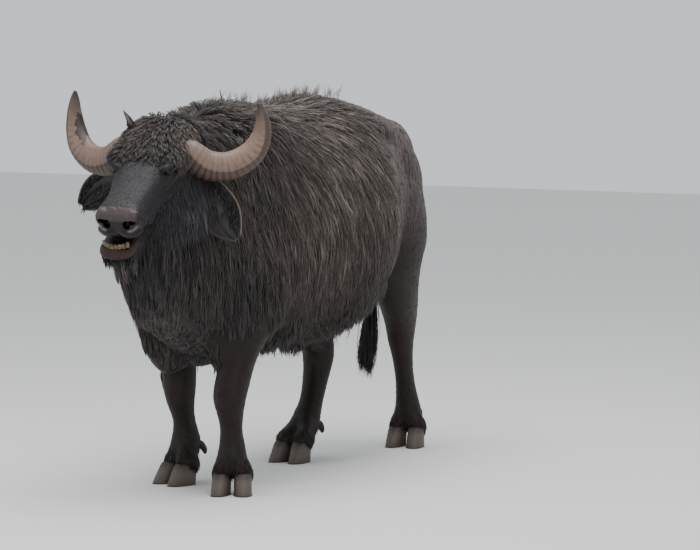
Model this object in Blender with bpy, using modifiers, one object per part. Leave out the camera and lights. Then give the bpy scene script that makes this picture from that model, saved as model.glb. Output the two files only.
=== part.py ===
"""A shaggy water buffalo bull, life size, standing with its right hind foot stepped forward.

Metres, +Z up. The animal faces -Y and its left side is +X. The origin is on the floor under the middle of
its length. The whole animal is shaped as one closed body, then parted with thin cuts.
"""

import math
from collections import namedtuple

import bmesh
import bpy
from mathutils import Matrix, Vector
from mathutils.bvhtree import BVHTree

# Driving sizes of the whole animal
GAP = 0.0003
LEFT, RIGHT = 1, -1
SIDES = {"left": LEFT, "right": RIGHT}
POLL = Vector((0.011, -0.680, 1.310))
HEAD_PITCH = math.radians(31.5)
HEAD_YAW = math.radians(7)
HEAD_ROLL = math.radians(3.3)
# How much of the coat's depth the solids stand out by, and where a section of the trunk is widest
COAT_SHARE = 1.0
WIDEST = 0.48

# Fineness of the fused surfaces
BODY_VOXEL = 0.013
HEAD_VOXEL = 0.0065
BODY_FACES = 4400
HEAD_FACES = 2200
# The easing and thinning draw a surface in by this much, so it is swelled back first
BODY_SWELL = 0.005
HEAD_SWELL = 0.002

# Colours as the photograph shows them
COAT_COLOUR = (0.030, 0.025, 0.023)
FACE_COLOUR = (0.028, 0.026, 0.027)
LEG_COLOUR = (0.024, 0.018, 0.016)
HORN_COLOUR = (0.300, 0.215, 0.165)
CLAW_COLOUR = (0.150, 0.115, 0.095)
EYE_COLOUR = (0.012, 0.008, 0.006)
TOOTH_COLOUR = (0.420, 0.300, 0.150)

# One cross-section: its centre, its half width to each side, and how far it reaches up and down from the
# centre. On a leg, which runs down, up is to the back and down is to the front.
Ring = namedtuple("Ring", "x y z half up down")


def trunk(y, top, bottom, half, x=0.0, coat=(0.0, 0.0, 0.0)):
    """A ring of the trunk, neck or head from its top and bottom heights, with the coat's depth on its top,
    sides and bottom added in the share that COAT_SHARE gives."""
    above, beside, below = (COAT_SHARE * depth for depth in coat)
    z = bottom + WIDEST * (top - bottom)
    return Ring(x, y, z, half + beside, top - z + above, z - bottom + below)


TORSO = (
    trunk(-0.47, 1.10, 0.66, 0.100, coat=(0.04, 0.05, 0.05)),
    trunk(-0.42, 1.22, 0.56, 0.175, coat=(0.05, 0.05, 0.06)),
    trunk(-0.30, 1.330, 0.485, 0.240, coat=(0.05, 0.05, 0.06)),
    trunk(-0.15, 1.325, 0.500, 0.270, coat=(0.045, 0.05, 0.05)),
    trunk(0.05, 1.308, 0.530, 0.305, coat=(0.04, 0.05, 0.04)),
    trunk(0.28, 1.328, 0.510, 0.328, coat=(0.045, 0.05, 0.045)),
    trunk(0.48, 1.338, 0.555, 0.315, coat=(0.045, 0.045, 0.04)),
    trunk(0.62, 1.332, 0.625, 0.275, coat=(0.035, 0.015, 0.02)),
    trunk(0.80, 1.292, 0.700, 0.218, coat=(0.020, 0.004, 0.006)),
    trunk(0.93, 1.205, 0.760, 0.158, coat=(0.006, 0.004, 0.006)),
    trunk(1.00, 1.130, 0.830, 0.108, coat=(0.004, 0.004, 0.004)),
    trunk(1.035, 1.040, 0.900, 0.050),
)
NECK = (
    trunk(-0.18, 1.305, 0.600, 0.190, coat=(0.05, 0.04, 0.05)),
    trunk(-0.34, 1.342, 0.510, 0.195, coat=(0.05, 0.05, 0.07)),
    trunk(-0.47, 1.342, 0.545, 0.180, coat=(0.05, 0.05, 0.07)),
    trunk(-0.58, 1.330, 0.630, 0.150, x=0.002, coat=(0.045, 0.035, 0.07)),
    trunk(-0.68, 1.316, 0.730, 0.128, x=0.005, coat=(0.040, 0.020, 0.07)),
    trunk(-0.78, 1.282, 0.830, 0.112, x=0.010, coat=(0.03, 0.015, 0.07)),
    trunk(-0.85, 1.190, 0.930, 0.080, x=0.014, coat=(0.0, 0.010, 0.06)),
)

# The skull and the upper jaw, in the head's own frame: the poll is its origin and the muzzle is at -Y
SKULL = (
    trunk(0.070, -0.070, -0.220, 0.080),
    trunk(0.030, -0.026, -0.245, 0.108, coat=(0.025, 0.01, 0.0)),
    trunk(-0.020, 0.004, -0.250, 0.121, coat=(0.030, 0.01, 0.0)),
    trunk(-0.080, 0.016, -0.240, 0.126, coat=(0.026, 0.004, 0.0)),
    trunk(-0.140, 0.020, -0.225, 0.122, coat=(0.012, 0.0, 0.0)),
    trunk(-0.200, 0.012, -0.200, 0.110),
    trunk(-0.270, -0.006, -0.160, 0.094),
    trunk(-0.340, -0.018, -0.142, 0.082),
    trunk(-0.410, -0.020, -0.132, 0.075),
    trunk(-0.455, -0.017, -0.130, 0.081),
    trunk(-0.488, -0.022, -0.126, 0.078),
    trunk(-0.508, -0.042, -0.108, 0.058),
)
# The jaw is open a little and slid to the right, as when the animal chews
JAW = (
    trunk(0.010, -0.120, -0.225, 0.066),
    trunk(-0.060, -0.120, -0.258, 0.086),
    trunk(-0.130, -0.120, -0.270, 0.088),
    trunk(-0.210, -0.115, -0.261, 0.076, x=-0.006),
    trunk(-0.290, -0.120, -0.247, 0.064, x=-0.011),
    trunk(-0.360, -0.136, -0.240, 0.058, x=-0.018),
    trunk(-0.410, -0.162, -0.238, 0.061, x=-0.024),
    trunk(-0.455, -0.172, -0.236, 0.063, x=-0.029),
    trunk(-0.485, -0.176, -0.230, 0.056, x=-0.031),
    trunk(-0.502, -0.184, -0.220, 0.042, x=-0.032),
    trunk(-0.508, -0.192, -0.210, 0.026, x=-0.032),
)
JAW_SLIDE = -0.031
# Rounded masses on the head, given for its left side: centre and half sizes
HEAD_MASSES = {
    "brow": (Vector((0.090, -0.185, -0.018)), Vector((0.034, 0.062, 0.026))),
    "orbit_floor": (Vector((0.086, -0.240, -0.060)), Vector((0.030, 0.060, 0.026))),
    "upper_lid": (Vector((0.100, -0.226, -0.026)), Vector((0.021, 0.036, 0.017))),
    "lower_lid": (Vector((0.099, -0.228, -0.058)), Vector((0.019, 0.032, 0.012))),
    "cheek": (Vector((0.064, -0.120, -0.170)), Vector((0.044, 0.100, 0.085))),
    "horn_boss": (Vector((0.094, -0.080, -0.060)), Vector((0.034, 0.060, 0.056))),
    "nostril_wing": (Vector((0.052, -0.478, -0.058)), Vector((0.030, 0.030, 0.038))),
    "upper_lip": (Vector((0.036, -0.480, -0.104)), Vector((0.044, 0.038, 0.025))),
    "lip_corner": (Vector((0.054, -0.365, -0.132)), Vector((0.016, 0.036, 0.024))),
}
# The nostrils' hollows, in the same way
NOSTRIL = (Vector((0.038, -0.514, -0.062)), Vector((0.015, 0.026, 0.012)))
# Rounded masses of the trunk, given for its left side
BODY_MASSES = {
    "shoulder_blade": (Vector((0.150, -0.250, 1.080)), Vector((0.100, 0.190, 0.240))),
    "shoulder_point": (Vector((0.170, -0.350, 0.760)), Vector((0.090, 0.140, 0.190))),
    "breast": (Vector((0.125, -0.400, 0.600)), Vector((0.105, 0.100, 0.190))),
    "hip": (Vector((0.142, 0.600, 1.218)), Vector((0.088, 0.150, 0.072))),
    "thurl": (Vector((0.148, 0.825, 1.000)), Vector((0.083, 0.168, 0.185))),
    "pin": (Vector((0.074, 0.970, 1.050)), Vector((0.050, 0.055, 0.090))),
    "flank_fold": (Vector((0.200, 0.520, 0.700)), Vector((0.060, 0.120, 0.120))),
}
# Rounded masses on the midline
MIDLINE_MASSES = {
    "sheath": (Vector((0.0, 0.280, 0.505)), Vector((0.045, 0.100, 0.060))),
    "beard": (Vector((-0.016, -0.935, 0.860)), Vector((0.024, 0.070, 0.085))),
}

FORE_LEG_LEFT = (
    Ring(0.175, -0.290, 0.900, 0.080, 0.120, 0.120),
    Ring(0.185, -0.310, 0.720, 0.078, 0.120, 0.105),
    Ring(0.178, -0.365, 0.600, 0.070, 0.088, 0.082),
    Ring(0.157, -0.405, 0.500, 0.059, 0.066, 0.064),
    Ring(0.144, -0.432, 0.400, 0.056, 0.058, 0.060),
    Ring(0.136, -0.440, 0.345, 0.055, 0.053, 0.056),
    Ring(0.134, -0.434, 0.305, 0.047, 0.047, 0.049),
    Ring(0.133, -0.426, 0.250, 0.037, 0.040, 0.037),
    Ring(0.132, -0.422, 0.210, 0.036, 0.041, 0.038),
    Ring(0.131, -0.416, 0.160, 0.043, 0.050, 0.044),
    Ring(0.134, -0.424, 0.118, 0.052, 0.048, 0.048),
)
FORE_LEG_RIGHT = (
    Ring(-0.175, -0.250, 0.900, 0.080, 0.120, 0.120),
    Ring(-0.185, -0.225, 0.720, 0.078, 0.120, 0.105),
    Ring(-0.178, -0.245, 0.600, 0.070, 0.088, 0.082),
    Ring(-0.168, -0.265, 0.500, 0.060, 0.066, 0.064),
    Ring(-0.158, -0.276, 0.400, 0.056, 0.058, 0.060),
    Ring(-0.155, -0.279, 0.345, 0.055, 0.053, 0.056),
    Ring(-0.153, -0.276, 0.300, 0.047, 0.047, 0.049),
    Ring(-0.152, -0.262, 0.250, 0.037, 0.041, 0.038),
    Ring(-0.152, -0.250, 0.210, 0.037, 0.041, 0.038),
    Ring(-0.154, -0.240, 0.155, 0.049, 0.053, 0.045),
    Ring(-0.156, -0.247, 0.115, 0.052, 0.048, 0.048),
)
HIND_LEG_LEFT = (
    Ring(0.120, 0.800, 1.060, 0.100, 0.180, 0.200),
    Ring(0.150, 0.795, 0.900, 0.100, 0.210, 0.200),
    Ring(0.160, 0.780, 0.760, 0.094, 0.205, 0.160),
    Ring(0.158, 0.820, 0.640, 0.072, 0.143, 0.104),
    Ring(0.141, 0.880, 0.550, 0.060, 0.110, 0.078),
    Ring(0.128, 0.915, 0.480, 0.049, 0.101, 0.060),
    Ring(0.122, 0.937, 0.420, 0.043, 0.062, 0.055),
    Ring(0.119, 0.955, 0.365, 0.036, 0.044, 0.044),
    Ring(0.112, 0.983, 0.292, 0.032, 0.037, 0.035),
    Ring(0.107, 1.010, 0.219, 0.034, 0.040, 0.038),
    Ring(0.104, 1.032, 0.150, 0.045, 0.048, 0.044),
    Ring(0.104, 1.034, 0.112, 0.053, 0.048, 0.050),
)
HIND_LEG_RIGHT = (
    Ring(-0.120, 0.790, 1.060, 0.100, 0.180, 0.200),
    Ring(-0.150, 0.720, 0.900, 0.100, 0.200, 0.190),
    Ring(-0.165, 0.600, 0.760, 0.088, 0.165, 0.150),
    Ring(-0.150, 0.618, 0.620, 0.068, 0.122, 0.098),
    Ring(-0.128, 0.664, 0.510, 0.057, 0.106, 0.076),
    Ring(-0.109, 0.698, 0.430, 0.051, 0.110, 0.060),
    Ring(-0.108, 0.700, 0.370, 0.052, 0.074, 0.066),
    Ring(-0.106, 0.680, 0.310, 0.046, 0.053, 0.053),
    Ring(-0.100, 0.645, 0.245, 0.041, 0.046, 0.044),
    Ring(-0.093, 0.605, 0.190, 0.041, 0.045, 0.042),
    Ring(-0.088, 0.562, 0.140, 0.050, 0.051, 0.045),
    Ring(-0.085, 0.530, 0.108, 0.053, 0.048, 0.050),
)

# Where each foot stands, and how far it is turned out from straight ahead
Foot = namedtuple("Foot", "leg x y toe_out")
FEET = {
    "fore_left": Foot(FORE_LEG_LEFT, 0.137, -0.425, math.radians(22)),
    "fore_right": Foot(FORE_LEG_RIGHT, -0.160, -0.276, math.radians(-24)),
    "hind_left": Foot(HIND_LEG_LEFT, 0.112, 1.010, math.radians(8)),
    "hind_right": Foot(HIND_LEG_RIGHT, -0.074, 0.430, math.radians(-6)),
}
CLAW_HEIGHT = 0.078
CLAW_HALF = 0.031
CLAW_SPREAD = 0.037
CLAW_SPLAY = math.radians(7)


def smooth_rings(rings, per_span):
    """The rings with others between them, on a smooth curve through every measure."""
    rows = []
    last = len(rings) - 1
    for i in range(last):
        before, here = rings[max(i - 1, 0)], rings[i]
        there, after = rings[i + 1], rings[min(i + 2, last)]
        for k in range(per_span):
            t = k / per_span
            rows.append(Ring(*(catmull_rom(*four, t) for four in zip(before, here, there, after))))
    rows.append(rings[last])
    return rows


def catmull_rom(a, b, c, d, t):
    """The value at t between b and c on a smooth curve through a, b, c and d."""
    return 0.5 * (2 * b + (c - a) * t + (2 * a - 5 * b + 4 * c - d) * t**2 + (3 * b - a - 3 * c + d) * t**3)


def squircle(angle, power):
    """A point of a unit ring whose corners fill out as power rises above 2."""
    c, s = math.cos(angle), math.sin(angle)
    return math.copysign(abs(c) ** (2 / power), c), math.copysign(abs(s) ** (2 / power), s)


def add_loft(bm, rings, segments=20, power=2.2, per_span=3, side=Vector((1, 0, 0)), shape=None, level=False):
    """Adds a closed tube through the rings; shape may move each point of a ring as it is laid, and level
    keeps every ring horizontal."""
    rows = smooth_rings(rings, per_span) if per_span > 1 else list(rings)
    centres = [Vector((r.x, r.y, r.z)) for r in rows]
    previous = None
    for i, row in enumerate(rows):
        along = (centres[min(i + 1, len(rows) - 1)] - centres[max(i - 1, 0)]).normalized()
        if level:
            along = Vector((0, 0, -1))
        across = (side - along * side.dot(along)).normalized()
        up = across.cross(along)
        if i == 0:
            turn = math.copysign(1, up.dot(Vector((0, 0.3, 1))))
        up *= turn
        ends = i in (0, len(rows) - 1)
        made = bmesh.ops.create_circle(bm, segments=segments, radius=1.0, cap_ends=ends)["verts"]
        for k, vert in enumerate(made):
            x, z = squircle(2 * math.pi * k / segments, power)
            if shape:
                x, z = shape(i / (len(rows) - 1), x, z)
            vert.co = centres[i] + across * (x * row.half) + up * (z * (row.up if z > 0 else row.down))
        edges = [e for e in {e for v in made for e in v.link_edges}]
        if previous:
            bmesh.ops.bridge_loops(bm, edges=previous + edges)
        previous = edges
    return bm


def add_mass(bm, centre, half, side=LEFT, place=None, fine=True):
    """Adds an ellipsoid on the given side; place carries it from the head's frame to the world."""
    where = Matrix.Translation((centre.x * side, centre.y, centre.z)) @ Matrix.Diagonal((*half, 1.0))
    if place:
        where = place @ where
    u, v = (16, 10) if fine else (10, 6)
    bmesh.ops.create_uvsphere(bm, u_segments=u, v_segments=v, radius=1.0, matrix=where)


def head_frame():
    """Carries a point from the head's own frame, poll at the origin, to the world."""
    turn = (
        Matrix.Rotation(HEAD_YAW, 4, "Z")
        @ Matrix.Rotation(HEAD_PITCH, 4, "X")
        @ Matrix.Rotation(HEAD_ROLL, 4, "Y")
    )
    return Matrix.Translation(POLL) @ turn


HEAD = head_frame()


def finish_mesh(name, bm, colour, roughness=0.7, keep=True):
    """Makes an object of the mesh, with its material, in the part's collection or among the helpers."""
    bmesh.ops.recalc_face_normals(bm, faces=bm.faces)
    bmesh.ops.triangulate(bm, faces=bm.faces)
    mesh = bpy.data.meshes.new(name)
    bm.to_mesh(mesh)
    bm.free()
    obj = bpy.data.objects.new(name, mesh)
    (PARTS if keep else HELPERS).objects.link(obj)
    mesh.materials.append(material(colour, roughness))
    return obj


def material(colour, roughness):
    """A Principled material of one colour, made once for each colour."""
    name = "surface_" + "_".join(f"{round(1000 * c):03d}" for c in colour)
    found = bpy.data.materials.get(name)
    if found:
        return found
    made = bpy.data.materials.new(name)
    made.use_nodes = True
    shader = made.node_tree.nodes["Principled BSDF"]
    shader.inputs["Base Color"].default_value = (*colour, 1.0)
    shader.inputs["Roughness"].default_value = roughness
    shader.inputs["Metallic"].default_value = 0.0
    return made


def apply_modifiers(obj):
    """Replaces the object's mesh with what its modifiers make of it."""
    graph = bpy.context.evaluated_depsgraph_get()
    mesh = bpy.data.meshes.new_from_object(obj.evaluated_get(graph))
    old = obj.data
    obj.modifiers.clear()
    obj.data = mesh
    bpy.data.meshes.remove(old)
    return obj


def fuse(obj, voxel, smoothing, swell, faces):
    """Fuses the overlapping masses into one skin, eases the joins and keeps the given count of faces."""
    remesh = obj.modifiers.new("fuse", "REMESH")
    remesh.mode = "VOXEL"
    remesh.voxel_size = voxel
    smooth = obj.modifiers.new("ease", "SMOOTH")
    smooth.factor = 0.5
    smooth.iterations = smoothing
    out = obj.modifiers.new("swell", "DISPLACE")
    out.mid_level = 0.0
    out.strength = swell
    apply_modifiers(obj)
    triangles = sum(len(p.vertices) - 2 for p in obj.data.polygons)
    decimate = obj.modifiers.new("thin", "DECIMATE")
    decimate.ratio = faces / triangles
    apply_modifiers(obj)
    keep_largest(obj)
    return obj


def islands(bm):
    """The mesh's connected groups of vertices."""
    left = set(bm.verts)
    found = []
    while left:
        group, front = set(), [left.pop()]
        while front:
            vert = front.pop()
            group.add(vert)
            for edge in vert.link_edges:
                other = edge.other_vert(vert)
                if other in left:
                    left.remove(other)
                    front.append(other)
        found.append(group)
    return found


def volume_of(group):
    """The signed volume inside one closed group of vertices."""
    total = 0.0
    for face in {f for v in group for f in v.link_faces}:
        a = face.verts[0].co
        for b, c in zip(face.verts[1:], face.verts[2:]):
            total += a.dot(b.co.cross(c.co)) / 6
    return total


def keep_largest(obj):
    """Drops every closed surface of the object but its largest."""
    bm = bmesh.new()
    bm.from_mesh(obj.data)
    groups = sorted(islands(bm), key=volume_of)
    bmesh.ops.delete(bm, geom=[v for g in groups[:-1] for v in g], context="VERTS")
    bm.to_mesh(obj.data)
    bm.free()
    return obj


def boolean(obj, others, operation, solver="MANIFOLD"):
    """Joins or cuts obj with the other objects in one step, then removes them."""
    helpers = bpy.data.collections.new("operands")
    for other in others:
        helpers.objects.link(other)
    modifier = obj.modifiers.new("boolean", "BOOLEAN")
    modifier.operation = operation
    modifier.solver = solver
    modifier.operand_type = "COLLECTION"
    modifier.collection = helpers
    apply_modifiers(obj)
    for other in others:
        bpy.data.objects.remove(other)
    bpy.data.collections.remove(helpers)
    return obj


def grown(obj, by=GAP):
    """A helper copy of the object, swollen a little, to cut its seat out of a neighbour."""
    copy = bpy.data.objects.new(obj.name + "_seat", obj.data.copy())
    HELPERS.objects.link(copy)
    copy.hide_render = True
    copy.display_type = "WIRE"
    swell = copy.modifiers.new("swell", "DISPLACE")
    swell.mid_level = 0.0
    swell.strength = by * 1.4
    return apply_modifiers(copy)


# The rounded crown of hair between the horns, fuller on the right, in the head's frame
CROWN = (
    (Vector((-0.094, -0.070, -0.012)), Vector((0.062, 0.062, 0.042))),
    (Vector((-0.020, -0.050, 0.006)), Vector((0.080, 0.060, 0.030))),
)


def make_flesh():
    """The trunk, neck and legs fused to one body, then the finer head fused to it."""
    bm = bmesh.new()
    add_loft(bm, TORSO, segments=28, power=2.15)
    add_loft(bm, NECK, segments=24, power=2.1)
    for centre, half in BODY_MASSES.values():
        for side in SIDES.values():
            add_mass(bm, centre, half, side)
    for centre, half in MIDLINE_MASSES.values():
        add_mass(bm, centre, half)
    for foot in FEET.values():
        add_loft(bm, foot.leg, segments=16, power=2.1)
        add_toes(bm, foot)
    body = fuse(finish_mesh("body", bm, COAT_COLOUR), BODY_VOXEL, 5, BODY_SWELL, BODY_FACES)
    bm = bmesh.new()
    add_loft(bm, SKULL, segments=24, power=2.9)
    add_loft(bm, JAW, segments=20, power=2.3)
    for centre, half in HEAD_MASSES.values():
        for side in SIDES.values():
            add_mass(bm, centre, half, side)
    for centre, half in CROWN:
        add_mass(bm, centre, half)
    bm.transform(HEAD)
    head = fuse(finish_mesh("head_shape", bm, FACE_COLOUR, keep=False), HEAD_VOXEL, 3, HEAD_SWELL, HEAD_FACES)
    boolean(body, [head], "UNION")
    hollows = []
    for side in SIDES.values():
        bm = bmesh.new()
        add_mass(bm, *NOSTRIL, side, HEAD, fine=False)
        hollows.append(finish_mesh("nostril", bm, FACE_COLOUR, keep=False))
    boolean(body, hollows, "DIFFERENCE")
    return keep_largest(body)


def foot_frame(foot):
    """Carries a point from a foot's own frame, sole centre at the origin and toes at -Y, to the world."""
    return Matrix.Translation((foot.x, foot.y, 0.0)) @ Matrix.Rotation(foot.toe_out, 4, "Z")


def add_toes(bm, foot):
    """Adds the two short toes that carry the claws, from the fetlock down."""
    last = foot.leg[-1]
    frame = foot_frame(foot)
    top = frame.inverted() @ Vector((last.x, last.y, last.z + 0.03))
    for side in SIDES.values():
        rings = (
            Ring(top.x + side * 0.012, top.y, top.z, 0.030, 0.032, 0.034),
            Ring(top.x * 0.5 + side * 0.026, top.y * 0.6, 0.100, 0.031, 0.036, 0.038),
            Ring(side * CLAW_SPREAD, 0.012, 0.074, 0.032, 0.042, 0.044),
            Ring(side * CLAW_SPREAD, 0.004, 0.055, 0.028, 0.036, 0.040),
        )
        toe = bmesh.new()
        add_loft(toe, rings, segments=14, per_span=2)
        toe.transform(frame)
        mesh = bpy.data.meshes.new("toe")
        toe.to_mesh(mesh)
        toe.free()
        bm.from_mesh(mesh)
        bpy.data.meshes.remove(mesh)


def make_claw(name, foot, side):
    """One claw: a flat sole, a long sloping toe wall and a low heel."""
    rings = (
        Ring(0.0, 0.000, CLAW_HEIGHT, 0.020, 0.026, 0.030),
        Ring(0.0, 0.000, CLAW_HEIGHT - 0.008, 0.029, 0.040, 0.044),
        Ring(0.0, -0.003, 0.045, 0.031, 0.045, 0.056),
        Ring(0.0, -0.008, 0.003, 0.031, 0.046, 0.073),
        Ring(0.0, -0.008, 0.000, 0.029, 0.044, 0.070),
    )
    bm = bmesh.new()
    add_loft(bm, rings, segments=12, power=2.3, per_span=1, level=True)
    turn = Matrix.Rotation(side * CLAW_SPLAY, 4, "Z")
    bm.transform(foot_frame(foot) @ Matrix.Translation((side * CLAW_SPREAD, 0, 0)) @ turn)
    return finish_mesh(name, bm, CLAW_COLOUR, 0.55)


def make_dewclaw(name, foot, side):
    """A small blunt horn behind the fetlock."""
    fetlock = foot.leg[-2]
    root = foot_frame(foot).inverted() @ Vector((fetlock.x, fetlock.y, fetlock.z - 0.018))
    rings = (
        Ring(root.x + side * 0.022, root.y + 0.022, root.z + 0.012, 0.010, 0.010, 0.010),
        Ring(root.x + side * 0.026, root.y + 0.046, root.z, 0.015, 0.013, 0.013),
        Ring(root.x + side * 0.028, root.y + 0.062, root.z - 0.020, 0.012, 0.010, 0.010),
        Ring(root.x + side * 0.028, root.y + 0.066, root.z - 0.036, 0.005, 0.004, 0.004),
    )
    bm = bmesh.new()
    add_loft(bm, rings, segments=6, per_span=1)
    bm.transform(foot_frame(foot))
    return finish_mesh(name, bm, CLAW_COLOUR, 0.55)


# The horn's centre line from its base, along level axes: out, back, up and its radius
HORN_BASE = Vector((0.115, -0.090, -0.066))
HORN_PATH = (
    (-0.035, 0.000, 0.006, 0.049),
    (0.000, 0.000, 0.000, 0.051),
    (0.065, 0.025, -0.033, 0.049),
    (0.135, 0.050, -0.030, 0.0465),
    (0.195, 0.075, 0.010, 0.042),
    (0.224, 0.090, 0.065, 0.035),
    (0.231, 0.085, 0.122, 0.025),
    (0.227, 0.074, 0.162, 0.016),
    (0.222, 0.062, 0.188, 0.006),
)
HORN_SAG = {LEFT: 0.0, RIGHT: 0.014}


def make_horn(name, side):
    """A flattened horn with a keel on its front edge, swept out, back and up to a blunt tip."""
    level = Matrix.Rotation(-HEAD_PITCH, 4, "X")
    rings = []
    for i, (out, back, up, r) in enumerate(HORN_PATH):
        sag = HORN_SAG[side] * math.sin(math.pi * i / (len(HORN_PATH) - 1)) ** 2
        x, y, z = level @ Vector((out, back, up - sag)) + HORN_BASE
        rings.append(Ring(side * x, y, z, r * 0.86, r * 1.02, r * 0.98))

    def keel(share, x, z):
        """Draws the ring's lower front corner out to a ridge near the root."""
        return x * (1 - 0.22 * max(z, 0)), z * (1 + 0.10 * (1 - share))

    bm = bmesh.new()
    add_loft(bm, rings, segments=12, power=2.3, per_span=2, side=Vector((0, -1, 0.25)), shape=keel)
    bm.transform(HEAD)
    return finish_mesh(name, bm, HORN_COLOUR, 0.5)


EYE_CENTRE = Vector((0.104, -0.228, -0.040))
EYE_RADIUS = 0.021


def make_eye(name, side):
    """The eyeball, seated in its socket."""
    bm = bmesh.new()
    where = HEAD @ Matrix.Translation((side * EYE_CENTRE.x, EYE_CENTRE.y, EYE_CENTRE.z))
    bmesh.ops.create_uvsphere(bm, u_segments=12, v_segments=8, radius=EYE_RADIUS, matrix=where)
    return finish_mesh(name, bm, EYE_COLOUR, 0.1)


# How each ear is held, in world directions: its axis and the way that its cup opens
EAR_LENGTH = 0.265
EAR_HALF = {LEFT: 0.062, RIGHT: 0.068}
EAR_WALL = 0.007
EAR_ROOT = {LEFT: Vector((0.088, -0.050, -0.174)), RIGHT: Vector((0.108, -0.050, -0.174))}
EAR_POSE = {
    LEFT: (Vector((0.72, 0.00, -0.70)), Vector((0.30, -0.90, 0.10))),
    RIGHT: (Vector((-0.92, 0.10, -0.40)), Vector((0.20, -0.85, -0.45))),
}


def make_ear(name, side):
    """A leaf-shaped cup, rolled to a tube at its root and open towards the front."""
    axis, opening = (v.normalized() for v in EAR_POSE[side])
    across = opening.cross(axis).normalized()
    opening = axis.cross(across).normalized()
    seat = EAR_ROOT[side]
    root = HEAD @ Vector((side * seat.x, seat.y, seat.z))
    long_steps, wide_steps = 10, 7
    bm = bmesh.new()
    made = bmesh.ops.create_grid(bm, x_segments=long_steps, y_segments=wide_steps, size=0.5)["verts"]
    for vert in made:
        share, turn = vert.co.x + 0.5, 2 * vert.co.y
        half = EAR_HALF[side] * (0.42 + 0.58 * math.sin(math.pi * min(1.0, share / 1.1) ** 0.9))
        half *= math.sqrt(max(0.0, 1 - max(0.0, (share - 0.72) / 0.30) ** 2))
        roll = math.radians(150 - 95 * min(1.0, share * 1.6))
        radius = half / math.sin(min(roll, math.pi / 2)) if roll < math.pi / 2 else half
        angle = turn * roll
        out = across * (radius * math.sin(angle)) - opening * (radius * math.cos(angle) - radius)
        droop = Vector((0, 0, -0.030)) * share**2
        vert.co = root + axis * (share * EAR_LENGTH) + out - opening * radius * 0.5 + droop
    ear = finish_mesh(name, bm, FACE_COLOUR)
    wall = ear.modifiers.new("wall", "SOLIDIFY")
    wall.thickness = EAR_WALL
    wall.offset = 0.0
    return apply_modifiers(ear)


TAIL_LINE = (
    Ring(0.000, 0.930, 1.190, 0.036, 0.030, 0.030),
    Ring(-0.002, 1.010, 1.175, 0.034, 0.030, 0.030),
    Ring(-0.008, 1.062, 1.110, 0.029, 0.026, 0.026),
    Ring(-0.018, 1.076, 0.980, 0.023, 0.021, 0.021),
    Ring(-0.030, 1.066, 0.820, 0.019, 0.018, 0.018),
    Ring(-0.042, 1.044, 0.680, 0.016, 0.015, 0.015),
    Ring(-0.050, 1.030, 0.560, 0.014, 0.014, 0.014),
)
# The switch's long hair as one smooth form, out to its tips
SWITCH_LINE = (
    Ring(-0.047, 1.034, 0.600, 0.022, 0.022, 0.022),
    Ring(-0.052, 1.028, 0.530, 0.040, 0.036, 0.036),
    Ring(-0.056, 1.022, 0.430, 0.042, 0.036, 0.036),
    Ring(-0.057, 1.018, 0.330, 0.030, 0.026, 0.026),
    Ring(-0.057, 1.016, 0.250, 0.009, 0.008, 0.008),
)


def make_tail():
    """The dock hanging behind the right thigh, and the switch of long hair on it."""
    bm = bmesh.new()
    add_loft(bm, TAIL_LINE, segments=12, per_span=2)
    dock = finish_mesh("tail_dock", bm, LEG_COLOUR)
    bm = bmesh.new()
    add_loft(bm, SWITCH_LINE, segments=12, per_span=2)
    switch = finish_mesh("tail_switch", bm, COAT_COLOUR)
    boolean(dock, [grown(switch)], "DIFFERENCE")
    keep_largest(dock)
    return dock, switch


TOOTH_COUNT = 8
TOOTH_PITCH = 0.0125
TOOTH_ARC = 0.055


def make_teeth():
    """The eight lower front teeth, side by side on the jaw's front edge, and the cutters of their sockets."""
    pieces = []
    for k in range(TOOTH_COUNT):
        turn = (k - (TOOTH_COUNT - 1) / 2) * TOOTH_PITCH / TOOTH_ARC
        across, ahead = TOOTH_ARC * math.sin(turn), TOOTH_ARC * (math.cos(turn) - 1)
        bm = bmesh.new()
        size = Matrix.Diagonal((0.0132, 0.0075, 0.028, 1.0))
        where = Matrix.Translation((across + JAW_SLIDE, -0.490 - ahead, -0.166)) @ Matrix.Rotation(turn, 4, "Z")
        bmesh.ops.create_cube(bm, size=1.0, matrix=where @ size)
        top = [v for v in bm.verts if v.co.z > -0.166]
        bmesh.ops.translate(bm, verts=top, vec=(0, -0.004, 0))
        bm.transform(HEAD)
        pieces.append(finish_mesh("teeth" if k == 0 else f"tooth_{k}", bm, TOOTH_COLOUR, 0.35, keep=k == 0))
    seats = [grown(piece) for piece in pieces]
    return boolean(pieces[0], pieces[1:], "UNION"), seats


def plate(centre, normal, radius, thickness=GAP):
    """A thin round plate that parts one node from the next."""
    bm = bmesh.new()
    turn = Vector((0, 0, 1)).rotation_difference(Vector(normal)).to_matrix().to_4x4()
    bmesh.ops.create_cone(
        bm, cap_ends=True, segments=24, radius1=radius, radius2=radius, depth=thickness,
        matrix=Matrix.Translation(centre) @ turn,
    )
    cutter = finish_mesh("plate", bm, COAT_COLOUR, keep=False)
    cutter.hide_render = True
    cutter.display_type = "WIRE"
    return cutter


# Where the whole animal is parted: a point on the cut, its normal and the plate's radius
CUTS = {
    "head": (Vector((0.008, -0.700, 1.090)), Vector((0.05, -0.88, 0.48)), 0.42),
    "neck": (Vector((0.0, -0.360, 0.900)), Vector((0.0, -0.94, 0.34)), 0.80),
    "hindquarters": (Vector((0.0, 0.460, 0.900)), Vector((0.0, 0.95, -0.30)), 0.75),
    "fore_leg_left": (Vector((0.155, -0.425, 0.440)), Vector((-0.67, 0, 0.74)), 0.160),
    "fore_leg_right": (Vector((-0.163, -0.270, 0.440)), Vector((0.67, 0, 0.74)), 0.220),
    "hind_leg_left": (Vector((0.152, 0.860, 0.575)), Vector((0, -0.50, 0.87)), 0.140),
    "hind_leg_right": (Vector((-0.135, 0.660, 0.525)), Vector((0, -0.50, 0.87)), 0.125),
}
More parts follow.
